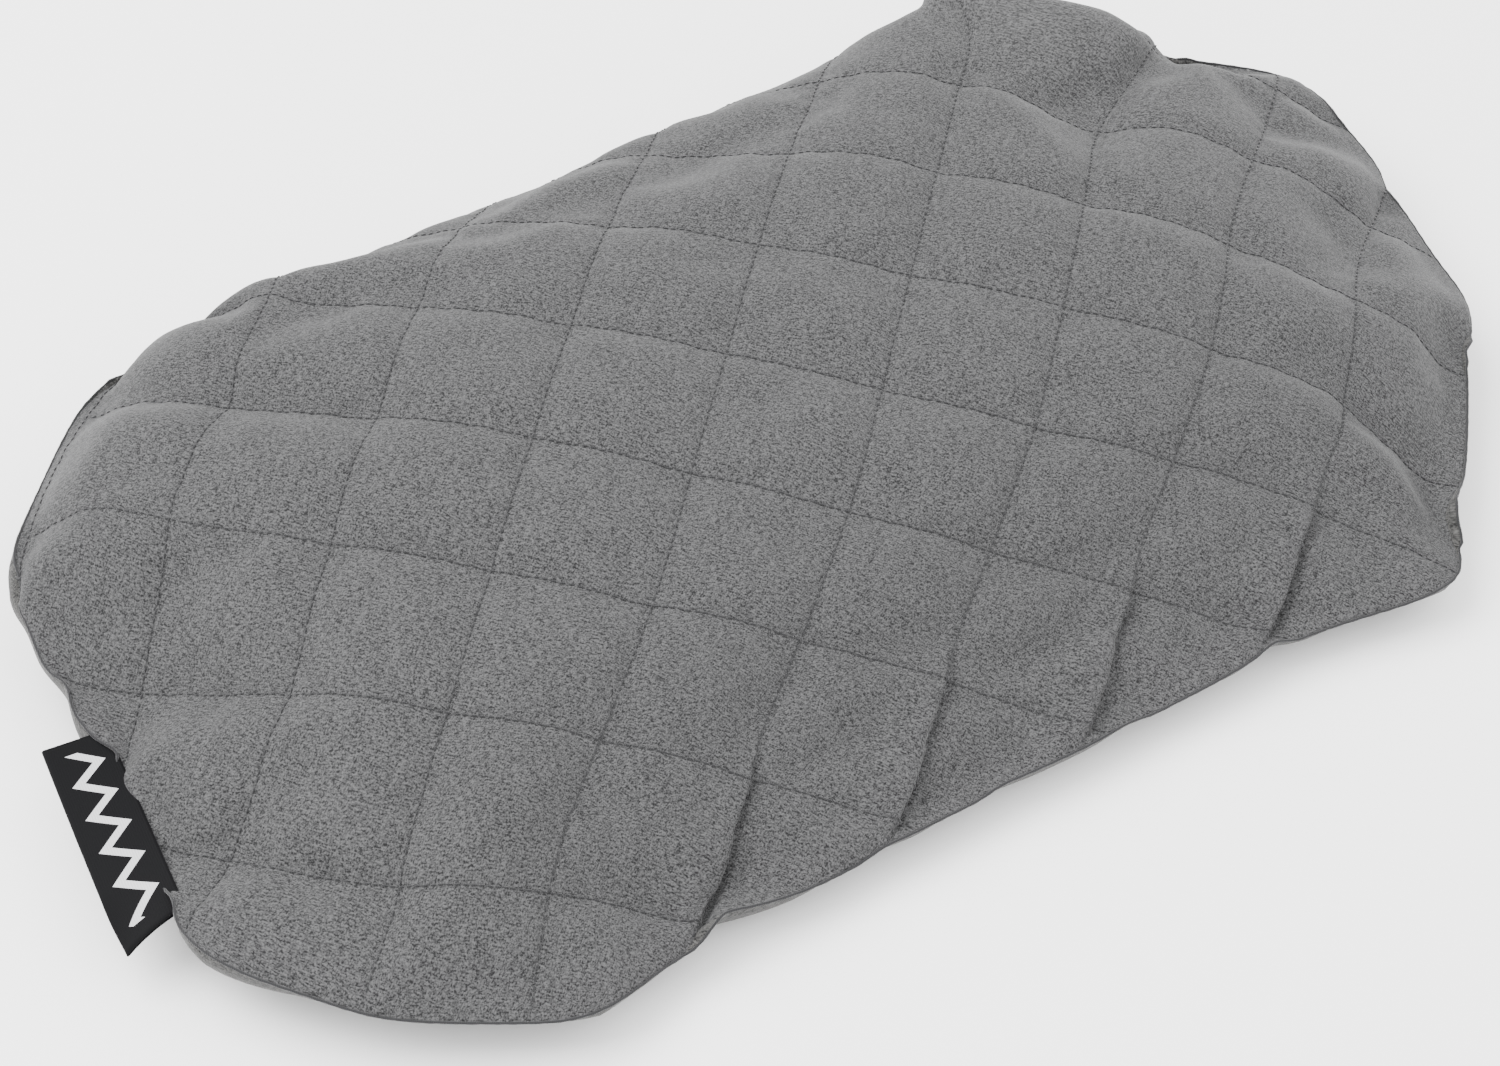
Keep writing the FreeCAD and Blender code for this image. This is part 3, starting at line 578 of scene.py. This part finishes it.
def make_stitches(quilt):
    """One short thread for each stitch of the two families of quilting lines."""
    centres, directions, normals = [], [], []
    half = STITCH_PITCH / SQUARE / 2
    span = np.arange(-2, 10, STITCH_PITCH / SQUARE)
    for line in range(-2, 10):
        uneven = span + 0.12 * half * np.sin(span * 57.0 + line * 1.7)
        for family in (0, 1):
            spots = on_line(line, family, uneven)
            here, up = quilt.at(*spots)
            ahead, _ = quilt.at(*on_line(line, family, uneven + half))
            behind, _ = quilt.at(*on_line(line, family, uneven - half))
            fit = ~np.isnan(here + ahead + behind + up).any(1) & (edge_distance(*spots) > 0.0015)
            centres.append(here[fit])
            directions.append(unit(ahead - behind)[fit])
            normals.append(up[fit])
    centres, directions, normals = (np.concatenate(part) for part in (centres, directions, normals))
    sides = unit(np.cross(normals, directions))
    normals = np.cross(directions, sides)
    # Place along the stitch, radius and height of each ring: its ends dip into the cover.
    rings = [(-0.0011, 0.00015, -0.00022), (-0.0007, 0.00036, 0.00006), (0.0, 0.00040, 0.00012),
             (0.0007, 0.00036, 0.00006), (0.0011, 0.00015, -0.00022)]
    around = 6
    shape = np.array([(along, radius * cosine, lift + radius * sine)
                      for along, radius, lift in rings for cosine, sine in circle(around)])
    points = (centres[:, None] + shape[None, :, :1] * directions[:, None]
              + shape[None, :, 1:2] * sides[:, None] + shape[None, :, 2:] * normals[:, None])
    faces = repeated(tube_faces(len(rings), around), len(shape), len(centres))
    return mesh_object("quilt_stitches", points.reshape(-1, 3), faces)


def tube_faces(rings, around, closed=False):
    """Faces of a tube of rings of points, with end caps unless it closes on itself."""
    faces = []
    for ring in range(rings if closed else rings - 1):
        low = ring * around
        high = ((ring + 1) % rings) * around
        for step in range(around):
            other = (step + 1) % around
            faces.append((low + step, low + other, high + other, high + step))
    if not closed:
        faces.append(tuple(reversed(range(around))))
        faces.append(tuple(range((rings - 1) * around, rings * around)))
    return faces


def seam_loop(surface):
    """Indices of the seam's vertices, in order round the pillow."""
    rim = np.nonzero(surface.inside < 1e-5)[0]
    return rim[np.argsort(np.arctan2(surface.b[rim] - CENTRE_B, surface.a[rim] - CENTRE_A))]


def plied_thread(path, radius):
    """Points and faces of a tube along a list of points, its radius waving like plied thread."""
    around = 8
    tangents = unit(np.gradient(path, axis=0))
    up = np.tile([0.0, 0.0, 1.0], (len(path), 1))
    sides = unit(np.cross(tangents, up))
    ups = np.cross(sides, tangents)
    length = np.concatenate([[0], np.cumsum(np.linalg.norm(np.diff(path, axis=0), axis=1))])
    points = []
    for step, (cosine, sine) in enumerate(circle(around)):
        wave = 1 + 0.18 * np.sin(length / 0.0011 + 4 * math.pi * step / around)
        points.append(path + (cosine * sides + sine * ups) * (radius * wave)[:, None])
    return np.stack(points, 1).reshape(-1, 3), tube_faces(len(path), around)


def make_seam_thread_and_gap_shade(surface):
    """The seam's thread in its groove, from one end of the zip round to the other: a dark tube that is
    partly the real thread and partly painted shade in the seam's gap.
    """
    rim = seam_loop(surface)
    away = ~((np.abs(surface.points[rim, 0]) < ZIP_HALF + 0.001) & (surface.b[rim] < 0))
    # The loop starts at an arbitrary angle, so it is rolled to begin after the zip.
    first = int(np.nonzero(away & ~np.roll(away, 1))[0][0])
    rim = np.roll(rim, -first)[np.roll(away, -first)]
    # Painted shade: the dark tube sunk into the seam also stands for the shade in the seam's gap.
    path = surface.points[rim] - surface.normals[rim] * 0.0003
    return mesh_object("seam_thread_and_gap_shade", *plied_thread(path, 0.0005))


def make_label(surface):
    """A ribbon folded in two: its open ends are sewn into the left short seam, its fold points out."""
    low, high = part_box("side_label")
    edge = surface.points[(surface.inside < 1e-5) & (np.abs(surface.a - A_LOW) < 1e-4)]
    edge = edge[np.argsort(edge[:, 1])]
    reach = high.x - low.x
    half_gap, skin, sewn_in = 0.0003, 0.0005, 0.0040
    stations = 42
    places = np.linspace(low.y, high.y, stations)
    base = np.stack([np.interp(places, edge[:, 1], edge[:, axis]) for axis in range(3)], 1)
    # A woven ribbon is stiffer than the knit, so it spans the small waves of the seam.
    for axis in (0, 2):
        base[:, axis] = np.polyval(np.polyfit(places, base[:, axis], 1), places)
    base[:, 0] += sewn_in
    outwards = np.linspace(0, reach, 23)
    section = [(out, half_gap + skin) for out in outwards]
    for turn in np.radians(np.linspace(75, -75, 7)):
        section.append((reach + (half_gap + skin) * math.cos(turn), (half_gap + skin) * math.sin(turn)))
    section += [(out, -half_gap - skin) for out in outwards[::-1]]
    section += [(out, -half_gap) for out in outwards]
    section += [(out, half_gap) for out in outwards[::-1]]
    section = np.array(section)
    share = (places - low.y) / (high.y - low.y)
    verts = []
    for station in range(stations):
        # The ribbon droops at its front end, rises towards the back and curls at the front corner.
        lift = math.radians(-6 + 16 * share[station])
        curl = 0.10 * ramp(share[station], 0.25, 0)
        out, up = section[:, 0], section[:, 1]
        bend = lift - curl * out / reach * 3
        x = base[station, 0] - out * np.cos(bend) + up * np.sin(bend)
        z = base[station, 2] + out * np.sin(bend) + up * np.cos(bend)
        verts.append(np.stack([x, np.full_like(x, places[station]), z], 1))
    verts = np.concatenate(verts)
    piece = mesh_object("woven_label", verts, tube_faces(stations, len(section)))
    paint_uv(piece, np.repeat(places, len(section)), np.tile(section[:, 0], stations))
    return piece


# ---- the zip

def make_coil(half):
    """One row of the zip's nylon coil: rounded teeth side by side."""
    low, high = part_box(f"zip_teeth_{half}")
    pitch = 0.0015
    middle = (low.y + high.y) / 2
    depth = (high.y - low.y) / 2
    shift = pitch / 2 if half == "lower" else 0.0
    inner, outer = (low.z, high.z) if half == "upper" else (high.z, low.z)
    around = 8
    half_width = 0.00058
    rings = [(0.0, 0.45), (0.10, 0.85), (0.30, 1.0), (0.75, 0.92), (1.0, 0.80)]
    shape = np.array([
        (half_width * fullness * cosine, depth * fullness * sine, inner + (outer - inner) * share)
        for share, fullness in rings for cosine, sine in circle(around)
    ])
    quads = tube_faces(len(rings), around)
    if half == "lower":
        quads = [face[::-1] for face in quads]
    teeth = np.arange(low.x + pitch / 2 + shift, high.x - pitch / 2, pitch)
    points = [shape + np.array([x, middle, 0]) for x in teeth]
    return mesh_object(f"coil_{half}", np.concatenate(points), repeated(quads, len(shape), len(teeth)))


def make_tape(half):
    """A woven tape with a corded edge along the teeth; its other edge is sewn behind the hem."""
    low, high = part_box(f"zip_tape_{half}")
    toward, inner = (1, low.z) if half == "upper" else (-1, high.z)
    middle = (low.y + high.y) / 2
    thin = (high.y - low.y) / 2
    section = [(0.0, -thin), (0.0002, -0.0007), (0.0008, -0.0009), (0.0014, -0.0006), (0.0018, -thin),
               (0.0055, -thin), (0.0057, 0.0), (0.0055, thin), (0.0018, thin), (0.0, thin)]
    columns = 200
    points = []
    for x in np.linspace(low.x, high.x, columns):
        ripple = 0.00005 * math.sin(x / 0.0008)
        points += [(x, middle + out + ripple, inner + toward * up) for up, out in section]
    faces = tube_faces(columns, len(section))
    if half == "lower":
        faces = [face[::-1] for face in faces]
    return mesh_object(f"tape_{half}", points, faces)


def refined(node, name, radius):
    """A copy of a moulded or cast CAD piece with its edges broken."""
    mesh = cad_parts[node].data.copy()
    mesh.name = name
    work = bmesh.new()
    work.from_mesh(mesh)
    bmesh.ops.remove_doubles(work, verts=work.verts, dist=1e-6)
    bmesh.ops.dissolve_limit(work, angle_limit=math.radians(2), verts=work.verts, edges=work.edges)
    work.to_mesh(mesh)
    work.free()
    piece = new_object(name, mesh)
    bevel = piece.modifiers.new("bevel", "BEVEL")
    bevel.width = radius
    bevel.segments = 3
    bevel.limit_method = "ANGLE"
    bevel.angle_limit = math.radians(35)
    bevel.use_clamp_overlap = True
    settle(piece)
    piece.data.polygons.foreach_set("use_smooth", [True] * len(piece.data.polygons))
    piece.data.set_sharp_from_angle(angle=math.radians(30))
    return piece


# ---- the inflatable core

def core_sheets(cover, core):
    """Fit a second pair of panels inside the cover: a little smaller, and clear of wadding and lining."""
    a = CENTRE_A + (core.a - CENTRE_A) * CORE_LENGTH
    b = CENTRE_B + (core.b - CENTRE_B) * CORE_WIDTH
    upper, upper_normals = QuiltMap(cover, 0).at(a, b)
    lower, lower_normals = QuiltMap(cover, 1).at(a, b)
    upper -= upper_normals * (KNIT_SKIN + WADDING_SKIN + LINING_SKIN + CORE_GAP_UPPER)
    lower -= lower_normals * (KNIT_SKIN + CORE_GAP_LOWER)
    middle = (upper + lower) / 2
    fullness = np.sqrt(1 - (1 - np.clip(core.inside / 0.05, 0, 1)) ** 2)[:, None]
    core.points = middle + (np.where(core.is_top[:, None], upper, lower) - middle) * fullness
    core.points[:, 2] = np.maximum(core.points[:, 2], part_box("bladder_bottom_sheet")[0].z)
    # It stays short of the zip, and further in towards the zip's right end, where the cover turns in.
    back = COVER_BACK - CORE_BEHIND_ZIP - 0.018 * ramp(core.points[:, 0], 0.135, 0.170)
    core.points[:, 1] = np.minimum(core.points[:, 1], back)
    core.measure()
    return core


def make_core(core):
    """The core's two sheets and the welded rim between them."""
    low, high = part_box("valve_body")
    middle = (low + high) / 2
    centres = core.points[core.faces].mean(1)
    off_valve = np.hypot(centres[:, 0] - middle.x, centres[:, 1] - middle.y) > VALVE_CLEARANCE
    upper = core.layer("core_top_sheet", 0, 0.0, CORE_SKIN)
    lower = core.layer("core_bottom_sheet", 1, 0.0, CORE_SKIN, off_valve)
    seam = seam_loop(core)
    outwards = unit(core.normals[seam] * np.array([1, 1, 0]))
    rows = [core.points[seam] + outwards * out + np.array([0, 0, up])
            for out, up in ((-0.001, 0.0004), (0.003, 0.0004), (0.003, -0.0004), (-0.001, -0.0004))]
    rim = mesh_object("core_rim", np.stack(rows, 1).reshape(-1, 3), tube_faces(len(seam), 4, closed=True))
    return upper, lower, rim


# ---- materials

class Finish:
    """A node material in the making: the shader's own numbers are set on it, textures are linked."""

    def __init__(self, name, color, roughness, **settings):
        self.material = bpy.data.materials.new(name)
        self.material.use_nodes = True
        self.tree = self.material.node_tree
        self.shader = self.tree.nodes["Principled BSDF"]
        self.shader.inputs["Base Color"].default_value = (*color, 1)
        self.shader.inputs["Roughness"].default_value = roughness
        self.material.diffuse_color = (*color, 1)
        for socket, value in settings.items():
            self.shader.inputs[socket.replace("_", " ")].default_value = value

    def add(self, kind, *values, **settings):
        """A node: values feed its first inputs in order, settings are properties or feed inputs by name."""
        made = self.tree.nodes.new(kind)
        for key, value in settings.items():
            if key in made.inputs:
                self.feed(made.inputs[key], value)
            else:
                setattr(made, key, value)
        for number, value in enumerate(values):
            self.feed(made.inputs[number], value)
        return made

    def feed(self, socket, value):
        if isinstance(value, bpy.types.NodeSocket):
            self.tree.links.new(value, socket)
        else:
            socket.default_value = value

    def math(self, operation, *values):
        return self.add("ShaderNodeMath", *values, operation=operation).outputs[0]

    def remap(self, value, low, high, new_low, new_high):
        return self.add("ShaderNodeMapRange", value, low, high, new_low, new_high).outputs[0]

    def fabric_map(self):
        return self.add("ShaderNodeUVMap", uv_map="fabric").outputs[0]

    def coordinates(self, size, turn=0):
        """Coordinates in steps of so many metres: two steps take the fabric map, three the object."""
        if len(size) == 2:
            source = self.fabric_map()
        else:
            source = self.add("ShaderNodeTexCoord").outputs["Object"]
        spin = self.add("ShaderNodeMapping", Vector=source, Rotation=(0, 0, math.radians(turn))).outputs[0]
        scale = [1 / step for step in size] + [1] * (3 - len(size))
        return self.add("ShaderNodeMapping", Vector=spin, Scale=scale).outputs[0]

    def split_map(self):
        """The fabric map's two numbers, in metres: along +X and towards the front."""
        return self.add("ShaderNodeSeparateXYZ", self.fabric_map()).outputs[:2]

    def noise(self, size, detail=2.0, roughness=0.5, turn=0):
        made = self.add("ShaderNodeTexNoise", Vector=self.coordinates(size, turn), Scale=1.0, Detail=detail,
                        Roughness=roughness)
        return made.outputs[0]

    def waves(self, vector, direction="X"):
        """Ridges one unit apart."""
        made = self.add("ShaderNodeTexWave", Vector=vector, Scale=math.pi / 10, bands_direction=direction)
        return made.outputs["Fac"]

    def tint(self, factor, dark, light):
        """Set the base colour between two colours by a factor."""
        mixed = self.add("ShaderNodeMix", factor, data_type="RGBA")
        self.feed(mixed.inputs[6], (*dark, 1))
        self.feed(mixed.inputs[7], (*light, 1))
        self.feed(self.shader.inputs["Base Color"], mixed.outputs[2])

    def tint_around(self, factor, color, dark, light):
        """The same, between two shades of one colour."""
        self.tint(factor, [dark * part for part in color], [light * part for part in color])

    def relief(self, height, distance, strength):
        bump = self.add("ShaderNodeBump", Strength=strength, Distance=distance, Height=height)
        self.feed(self.shader.inputs["Normal"], bump.outputs[0])

    def rough(self, factor, low, high):
        self.feed(self.shader.inputs["Roughness"], self.remap(factor, 0.0, 1.0, low, high))


def heather_knit(name, dark, light, quilted):
    """Brushed knit of dark and pale fibres: fine diagonal flecks and a nap; on a quilted panel, painted
    shade darkens the colour towards the stitch lines.
    """
    middle = tuple((low + high) / 2 for low, high in zip(dark, light))
    finish = Finish(name, middle, 0.95, Sheen_Weight=0.12, Sheen_Roughness=0.5, Specular_IOR_Level=0.12)
    flecks = finish.noise((0.0007, 0.0024), 2.0, 0.65, turn=38)
    crossing = finish.noise((0.0019, 0.0007), 2.0, 0.65, turn=31)
    grain = finish.noise((0.00062, 0.00070), 1.0, 0.6, turn=-20)
    cloudy = finish.noise((0.009, 0.011), 3.0, 0.6)
    mix = finish.math("ADD", flecks, finish.math("MULTIPLY", crossing, 0.6))
    mix = finish.math("MULTIPLY_ADD", grain, 0.9, mix)
    mix = finish.math("MULTIPLY_ADD", cloudy, 0.18, mix)
    factor = finish.remap(mix, 1.12, 1.56, 0.0, 1.0)
    # Painted shade: the colour is darkened towards the stitch lines, where the groove lies in shade.
    if quilted:
        factor = finish.math("MULTIPLY", factor, painted_groove_shade(finish))
    finish.tint(factor, dark, light)
    finish.relief(mix, 0.00022, 0.6)
    return finish.material


def painted_groove_shade(finish):
    """Painted shade of the groove at the stitch lines: 1 on a quilted square, falling towards its stitch
    lines.
    """
    a, b = finish.split_map()
    groove_shades = []
    for sign in (1, -1):
        mixed = finish.math("MULTIPLY_ADD", a, sign, b)
        line = finish.math("MULTIPLY_ADD", mixed, 0.5 / QUILT_UNIT, QUILT_PHASE / 2 + 0.5)
        offset = finish.math("ABSOLUTE", finish.math("SUBTRACT", finish.math("FRACT", line), 0.5))
        # Painted shade: 0.7 of the colour on a stitch line, all of it from 0.9 mm away.
        groove_shades.append(finish.remap(offset, 0.0, 0.0009 / SQUARE, 0.7, 1.0))
    return finish.math("MULTIPLY", groove_shades[0], groove_shades[1])


def thread_finish(name, color):
    finish = Finish(name, color, 0.8, Sheen_Weight=0.2, Specular_IOR_Level=0.3)
    plies = finish.waves(finish.coordinates((0.0006,) * 3, 30))
    finish.tint_around(plies, color, 0.6, 1.5)
    finish.relief(plies, 0.0001, 0.6)
    return finish.material


def woven_finish(name, color, pitch, mapped, gloss):
    """A plain weave, on the fabric map or along X and Z: two sets of ribs that pass over each other."""
    finish = Finish(name, color, gloss, Sheen_Weight=0.15, Specular_IOR_Level=0.35)
    axes = 2 if mapped else 3
    spots = finish.coordinates((pitch,) * axes)
    weave = finish.math("MAXIMUM", finish.waves(spots, "X"), finish.waves(spots, "Y" if mapped else "Z"))
    worn = finish.noise((0.01,) * axes, 3.0)
    factor = finish.math("MULTIPLY_ADD", worn, 0.3, finish.math("MULTIPLY", weave, 0.7))
    finish.tint_around(factor, color, 0.55, 1.5)
    finish.rough(worn, gloss - 0.08, gloss + 0.12)
    finish.relief(weave, pitch * 0.3, 0.7)
    return finish.material


def label_finish():
    """Black satin ribbon with a pale zigzag woven along its middle."""
    finish = Finish("label_weave", (0.004, 0.004, 0.0045), 0.75, Specular_IOR_Level=0.08)
    along, across = finish.split_map()
    # A bold zigzag: the distance from a triangle wave along the ribbon.
    pitch, rise, middle, half_width = 0.0142, 0.0050, 0.0122, 0.0024
    turns = finish.math("MULTIPLY_ADD", along, 1 / pitch, 0.5)
    phase = finish.math("SUBTRACT", finish.math("FRACT", turns), 0.5)
    wave = finish.math("MULTIPLY_ADD", finish.math("ABSOLUTE", phase), 4 * rise, middle - rise)
    gap = finish.math("ABSOLUTE", finish.math("SUBTRACT", across, wave))
    ends = finish.math("LESS_THAN", finish.math("ABSOLUTE", finish.math("ADD", along, 0.001)), 0.0355)
    band = finish.math("MULTIPLY", finish.math("LESS_THAN", gap, half_width), ends)
    ribs = finish.waves(finish.coordinates((0.00045, 0.00045)), "X")
    cross = finish.waves(finish.coordinates((0.0009, 0.0009)), "Y")
    weave = finish.math("MAXIMUM", ribs, cross)
    shade = finish.math("MULTIPLY", band, finish.remap(weave, 0.0, 1.0, 0.78, 1.0))
    finish.tint(shade, (0.0035, 0.0035, 0.004), (0.48, 0.48, 0.49))
    finish.relief(finish.math("MULTIPLY_ADD", band, 0.8, weave), 0.00012, 0.6)
    return finish.material


def fibre_finish():
    """Polyester wadding: pale tangled fibres."""
    finish = Finish("wadding_fibre", (0.8, 0.8, 0.79), 1.0, Sheen_Weight=0.3, Specular_IOR_Level=0.1)
    strands = finish.noise((0.0006, 0.004), 4.0, 0.7, turn=20)
    tangle = finish.noise((0.004, 0.0007), 4.0, 0.7, turn=-35)
    fibres = finish.math("MAXIMUM", strands, tangle)
    finish.tint(finish.remap(fibres, 0.35, 0.75, 0.0, 1.0), (0.62, 0.62, 0.61), (0.88, 0.88, 0.87))
    finish.relief(fibres, 0.0008, 0.9)
    return finish.material


def coated_finish():
    """Coated ripstop: smooth, with a grid of raised yarns."""
    finish = Finish("coated_ripstop", (0.055, 0.06, 0.065), 0.42, Specular_IOR_Level=0.45)
    spots = finish.coordinates((0.005, 0.005))
    ribs = finish.math("MAXIMUM", finish.waves(spots, "X"), finish.waves(spots, "Y"))
    grid = finish.remap(ribs, 0.96, 1.0, 0.0, 1.0)
    film = finish.noise((0.02, 0.02), 4.0)
    finish.tint(finish.math("MULTIPLY_ADD", grid, 0.6, finish.math("MULTIPLY", film, 0.4)),
                (0.038, 0.042, 0.046), (0.08, 0.085, 0.092))
    finish.rough(film, 0.34, 0.52)
    finish.relief(finish.math("MULTIPLY_ADD", grid, 0.7, film), 0.00012, 0.5)
    return finish.material


def moulded_finish(name, color, gloss, spark=0.5):
    """Moulded plastic, rubber or painted metal: a fine grain and slight handling marks."""
    finish = Finish(name, color, gloss, Specular_IOR_Level=spark)
    grain = finish.noise((0.00025,) * 3, 2.0, 0.6)
    marks = finish.noise((0.004, 0.0006, 0.002), 4.0, 0.65, turn=25)
    factor = finish.math("MULTIPLY_ADD", grain, 0.3, finish.math("MULTIPLY", marks, 0.7))
    finish.tint_around(factor, color, 0.75, 1.3)
    finish.rough(marks, max(gloss - 0.12, 0.05), gloss + 0.14)
    finish.relief(grain, 0.00003, 0.5)
    return finish.material


# ---- building the pillow

def build_cover(surface):
    """Both panels of the cover, open beside the zip, with the seam, the stitches and the label."""
    near_zip = (surface.inside[surface.faces].mean(1) < ZIP_OPEN) & (surface.b[surface.faces].mean(1) < 0)
    along_zip = np.abs(surface.points[surface.faces][:, :, 0].mean(1)) < ZIP_HALF
    keep = ~(near_zip & along_zip)
    brushed = heather_knit("brushed_heather", (0.009, 0.009, 0.0095), (0.071, 0.071, 0.072), True)
    plain = heather_knit("plain_heather", (0.009, 0.009, 0.009), (0.068, 0.067, 0.065), False)
    top = surface.layer("cover_top", 0, 0.0, KNIT_SKIN, keep)
    place(top, "pillow", "brushed_knit", brushed, "cover_top_face")
    bottom = surface.layer("cover_bottom", 1, 0.0, KNIT_SKIN, keep)
    place(bottom, "pillow", "plain_knit", plain, "cover_bottom_panel")
    thread = thread_finish("charcoal_thread", (0.008, 0.008, 0.009))
    # The seam's dark thread is partly real thread and partly painted shade in the seam's gap.
    place(make_seam_thread_and_gap_shade(surface), "pillow", "seam_thread", thread, "perimeter_seam")
    place(make_stitches(QuiltMap(surface)), "pillow", "seam_thread", thread, "quilting_thread")
    place(make_label(surface), "pillow", "label_ribbon", label_finish(), "side_label")


def build_filling(surface):
    """The wadding and the lining behind the upper panel."""
    inside = surface.inside[surface.faces].min(1) > 0.009
    filled = WADDING_SKIN * ramp(surface.inside, 0.0065, 0.0315)
    wadding = surface.layer("wadding_layer", 0, KNIT_SKIN + 0.0001, filled, inside)
    place(wadding, "pillow", "wadding", fibre_finish(), "quilt_wadding")
    lining = surface.layer("lining_layer", 0, KNIT_SKIN + 0.0003 + filled, LINING_SKIN, inside)
    weave = woven_finish("lining_weave", (0.30, 0.30, 0.31), 0.0006, True, 0.8)
    place(lining, "pillow", "lining", weave, "quilt_lining")


def build_core(cover, core):
    """The inflatable core: two coated sheets and their welded rim."""
    coated = coated_finish()
    upper, lower, rim = make_core(core_sheets(cover, core))
    for piece, node in ((upper, "bladder_top_sheet"), (lower, "bladder_bottom_sheet")):
        place(piece, "pillow", "coated_fabric", coated, node)
    welded = moulded_finish("welded_rim", (0.045, 0.05, 0.055), 0.4)
    place(rim, "pillow", "coated_fabric", welded, "bladder_rim_weld")


def build_zip():
    """The coils, the tapes, the stops, the slider and its pull tab."""
    nylon = moulded_finish("coil_nylon", (0.010, 0.010, 0.011), 0.40)
    metal = moulded_finish("black_enamel", (0.010, 0.010, 0.011), 0.32)
    weave = woven_finish("tape_weave", (0.024, 0.024, 0.026), 0.0007, False, 0.7)
    for half in ("upper", "lower"):
        place(make_coil(half), "pillow", "zip_coil", nylon, f"zip_teeth_{half}")
        place(make_tape(half), "pillow", "zip_tape", weave, f"zip_tape_{half}")
    for node, body, radius in (("zip_slider", "slider", 0.00025), ("zip_pull", "pull", 0.00022),
                               ("zip_top_stops", "pillow", 0.0003), ("zip_bottom_stop", "pillow", 0.0003)):
        place(refined(node, f"{node}_cast", radius), body, "zip_metal", metal, node)


def paint_cad_nodes():
    """The CAD nodes that stay as they are get their finishes."""
    plastic = moulded_finish("valve_body_plastic", (0.035, 0.035, 0.038), 0.45)
    finishes = {
        "valve_flange": plastic,
        "valve_body": plastic,
        "valve_nozzle": moulded_finish("valve_nozzle_plastic", (0.30, 0.31, 0.33), 0.25),
        "valve_o_ring": moulded_finish("seal_rubber_black", (0.012, 0.012, 0.012), 0.75, 0.3),
    }
    for name, material in finishes.items():
        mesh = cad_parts[name].data
        mesh.materials.clear()
        mesh.materials.append(material)


# ---- stage, lights and camera

def build_stage():
    """A pale seamless floor."""
    floor = square_floor("studio_floor", 6, 0)
    floor.location.z = -0.0002
    paper = Finish("studio_paper", (0.92, 0.92, 0.92), 0.9, Specular_IOR_Level=0.1)
    paper.tint(paper.noise((0.02,) * 3, 3.0), (0.935, 0.935, 0.935), (0.945, 0.945, 0.945))
    floor.data.materials.append(paper.material)


def compass(azimuth, elevation):
    """The unit vector of a compass direction in degrees: 0 is the front (-Y), 90 the right (+X)."""
    turn, lift = math.radians(azimuth), math.radians(elevation)
    return Vector((math.sin(turn) * math.cos(lift), -math.cos(turn) * math.cos(lift), math.sin(lift)))


def area_light(name, azimuth, elevation, distance, size, power):
    """A square soft light that looks at the pillow from a compass direction."""
    light = bpy.data.lights.new(name, "AREA")
    light.size = size
    light.energy = power
    lamp = new_object(name, light)
    direction = compass(azimuth, elevation)
    lamp.location = direction * distance
    lamp.rotation_euler = direction.to_track_quat("Z", "Y").to_euler()


def build_light():
    area_light("key", -120, 58, 2.6, 2.0, 150)
    area_light("fill", 20, 60, 3.0, 2.6, 60)
    world = bpy.data.worlds.new("studio_world")
    world.use_nodes = True
    backdrop = world.node_tree.nodes["Background"]
    backdrop.inputs["Color"].default_value = (1, 1, 1, 1)
    backdrop.inputs["Strength"].default_value = 2.4
    bpy.context.scene.world = world


CAMERA_AZIMUTH = -35.4
CAMERA_ELEVATION = 46.1
CAMERA_ROLL = 1.4
CAMERA_DISTANCE = 1.322
CAMERA_FOCAL = 2.472                     # focal length in image widths
CAMERA_TARGET = (-0.0365, -0.0127, 0.04)


def build_camera():
    """A camera that looks at the target from a compass direction, slightly rolled."""
    roll = math.radians(CAMERA_ROLL)
    back = compass(CAMERA_AZIMUTH, CAMERA_ELEVATION)
    level = compass(CAMERA_AZIMUTH + 90, 0)
    upright = back.cross(level)
    right = level * math.cos(roll) + upright * math.sin(roll)
    up = upright * math.cos(roll) - level * math.sin(roll)
    data = bpy.data.cameras.new("camera")
    data.sensor_fit = "HORIZONTAL"
    data.sensor_width = 36
    data.lens = data.sensor_width * CAMERA_FOCAL
    data.clip_end = 50
    camera = new_object("camera", data)
    axes = (right, up, back, Vector(CAMERA_TARGET) + back * CAMERA_DISTANCE)
    for column, axis in enumerate(axes):
        for row in range(3):
            camera.matrix_world[row][column] = axis[row]
    bpy.context.scene.camera = camera


points, spots, faces, sides = inflate_cover()
arrange(points, spots, sides)
cover = Surface(points, spots, faces, sides, FINE_LEVELS)
add_relief(cover)
build_cover(cover)
build_filling(cover)
build_core(cover, Surface(points, spots, faces, sides, 1))
build_zip()
paint_cad_nodes()
build_stage()
build_light()
build_camera()
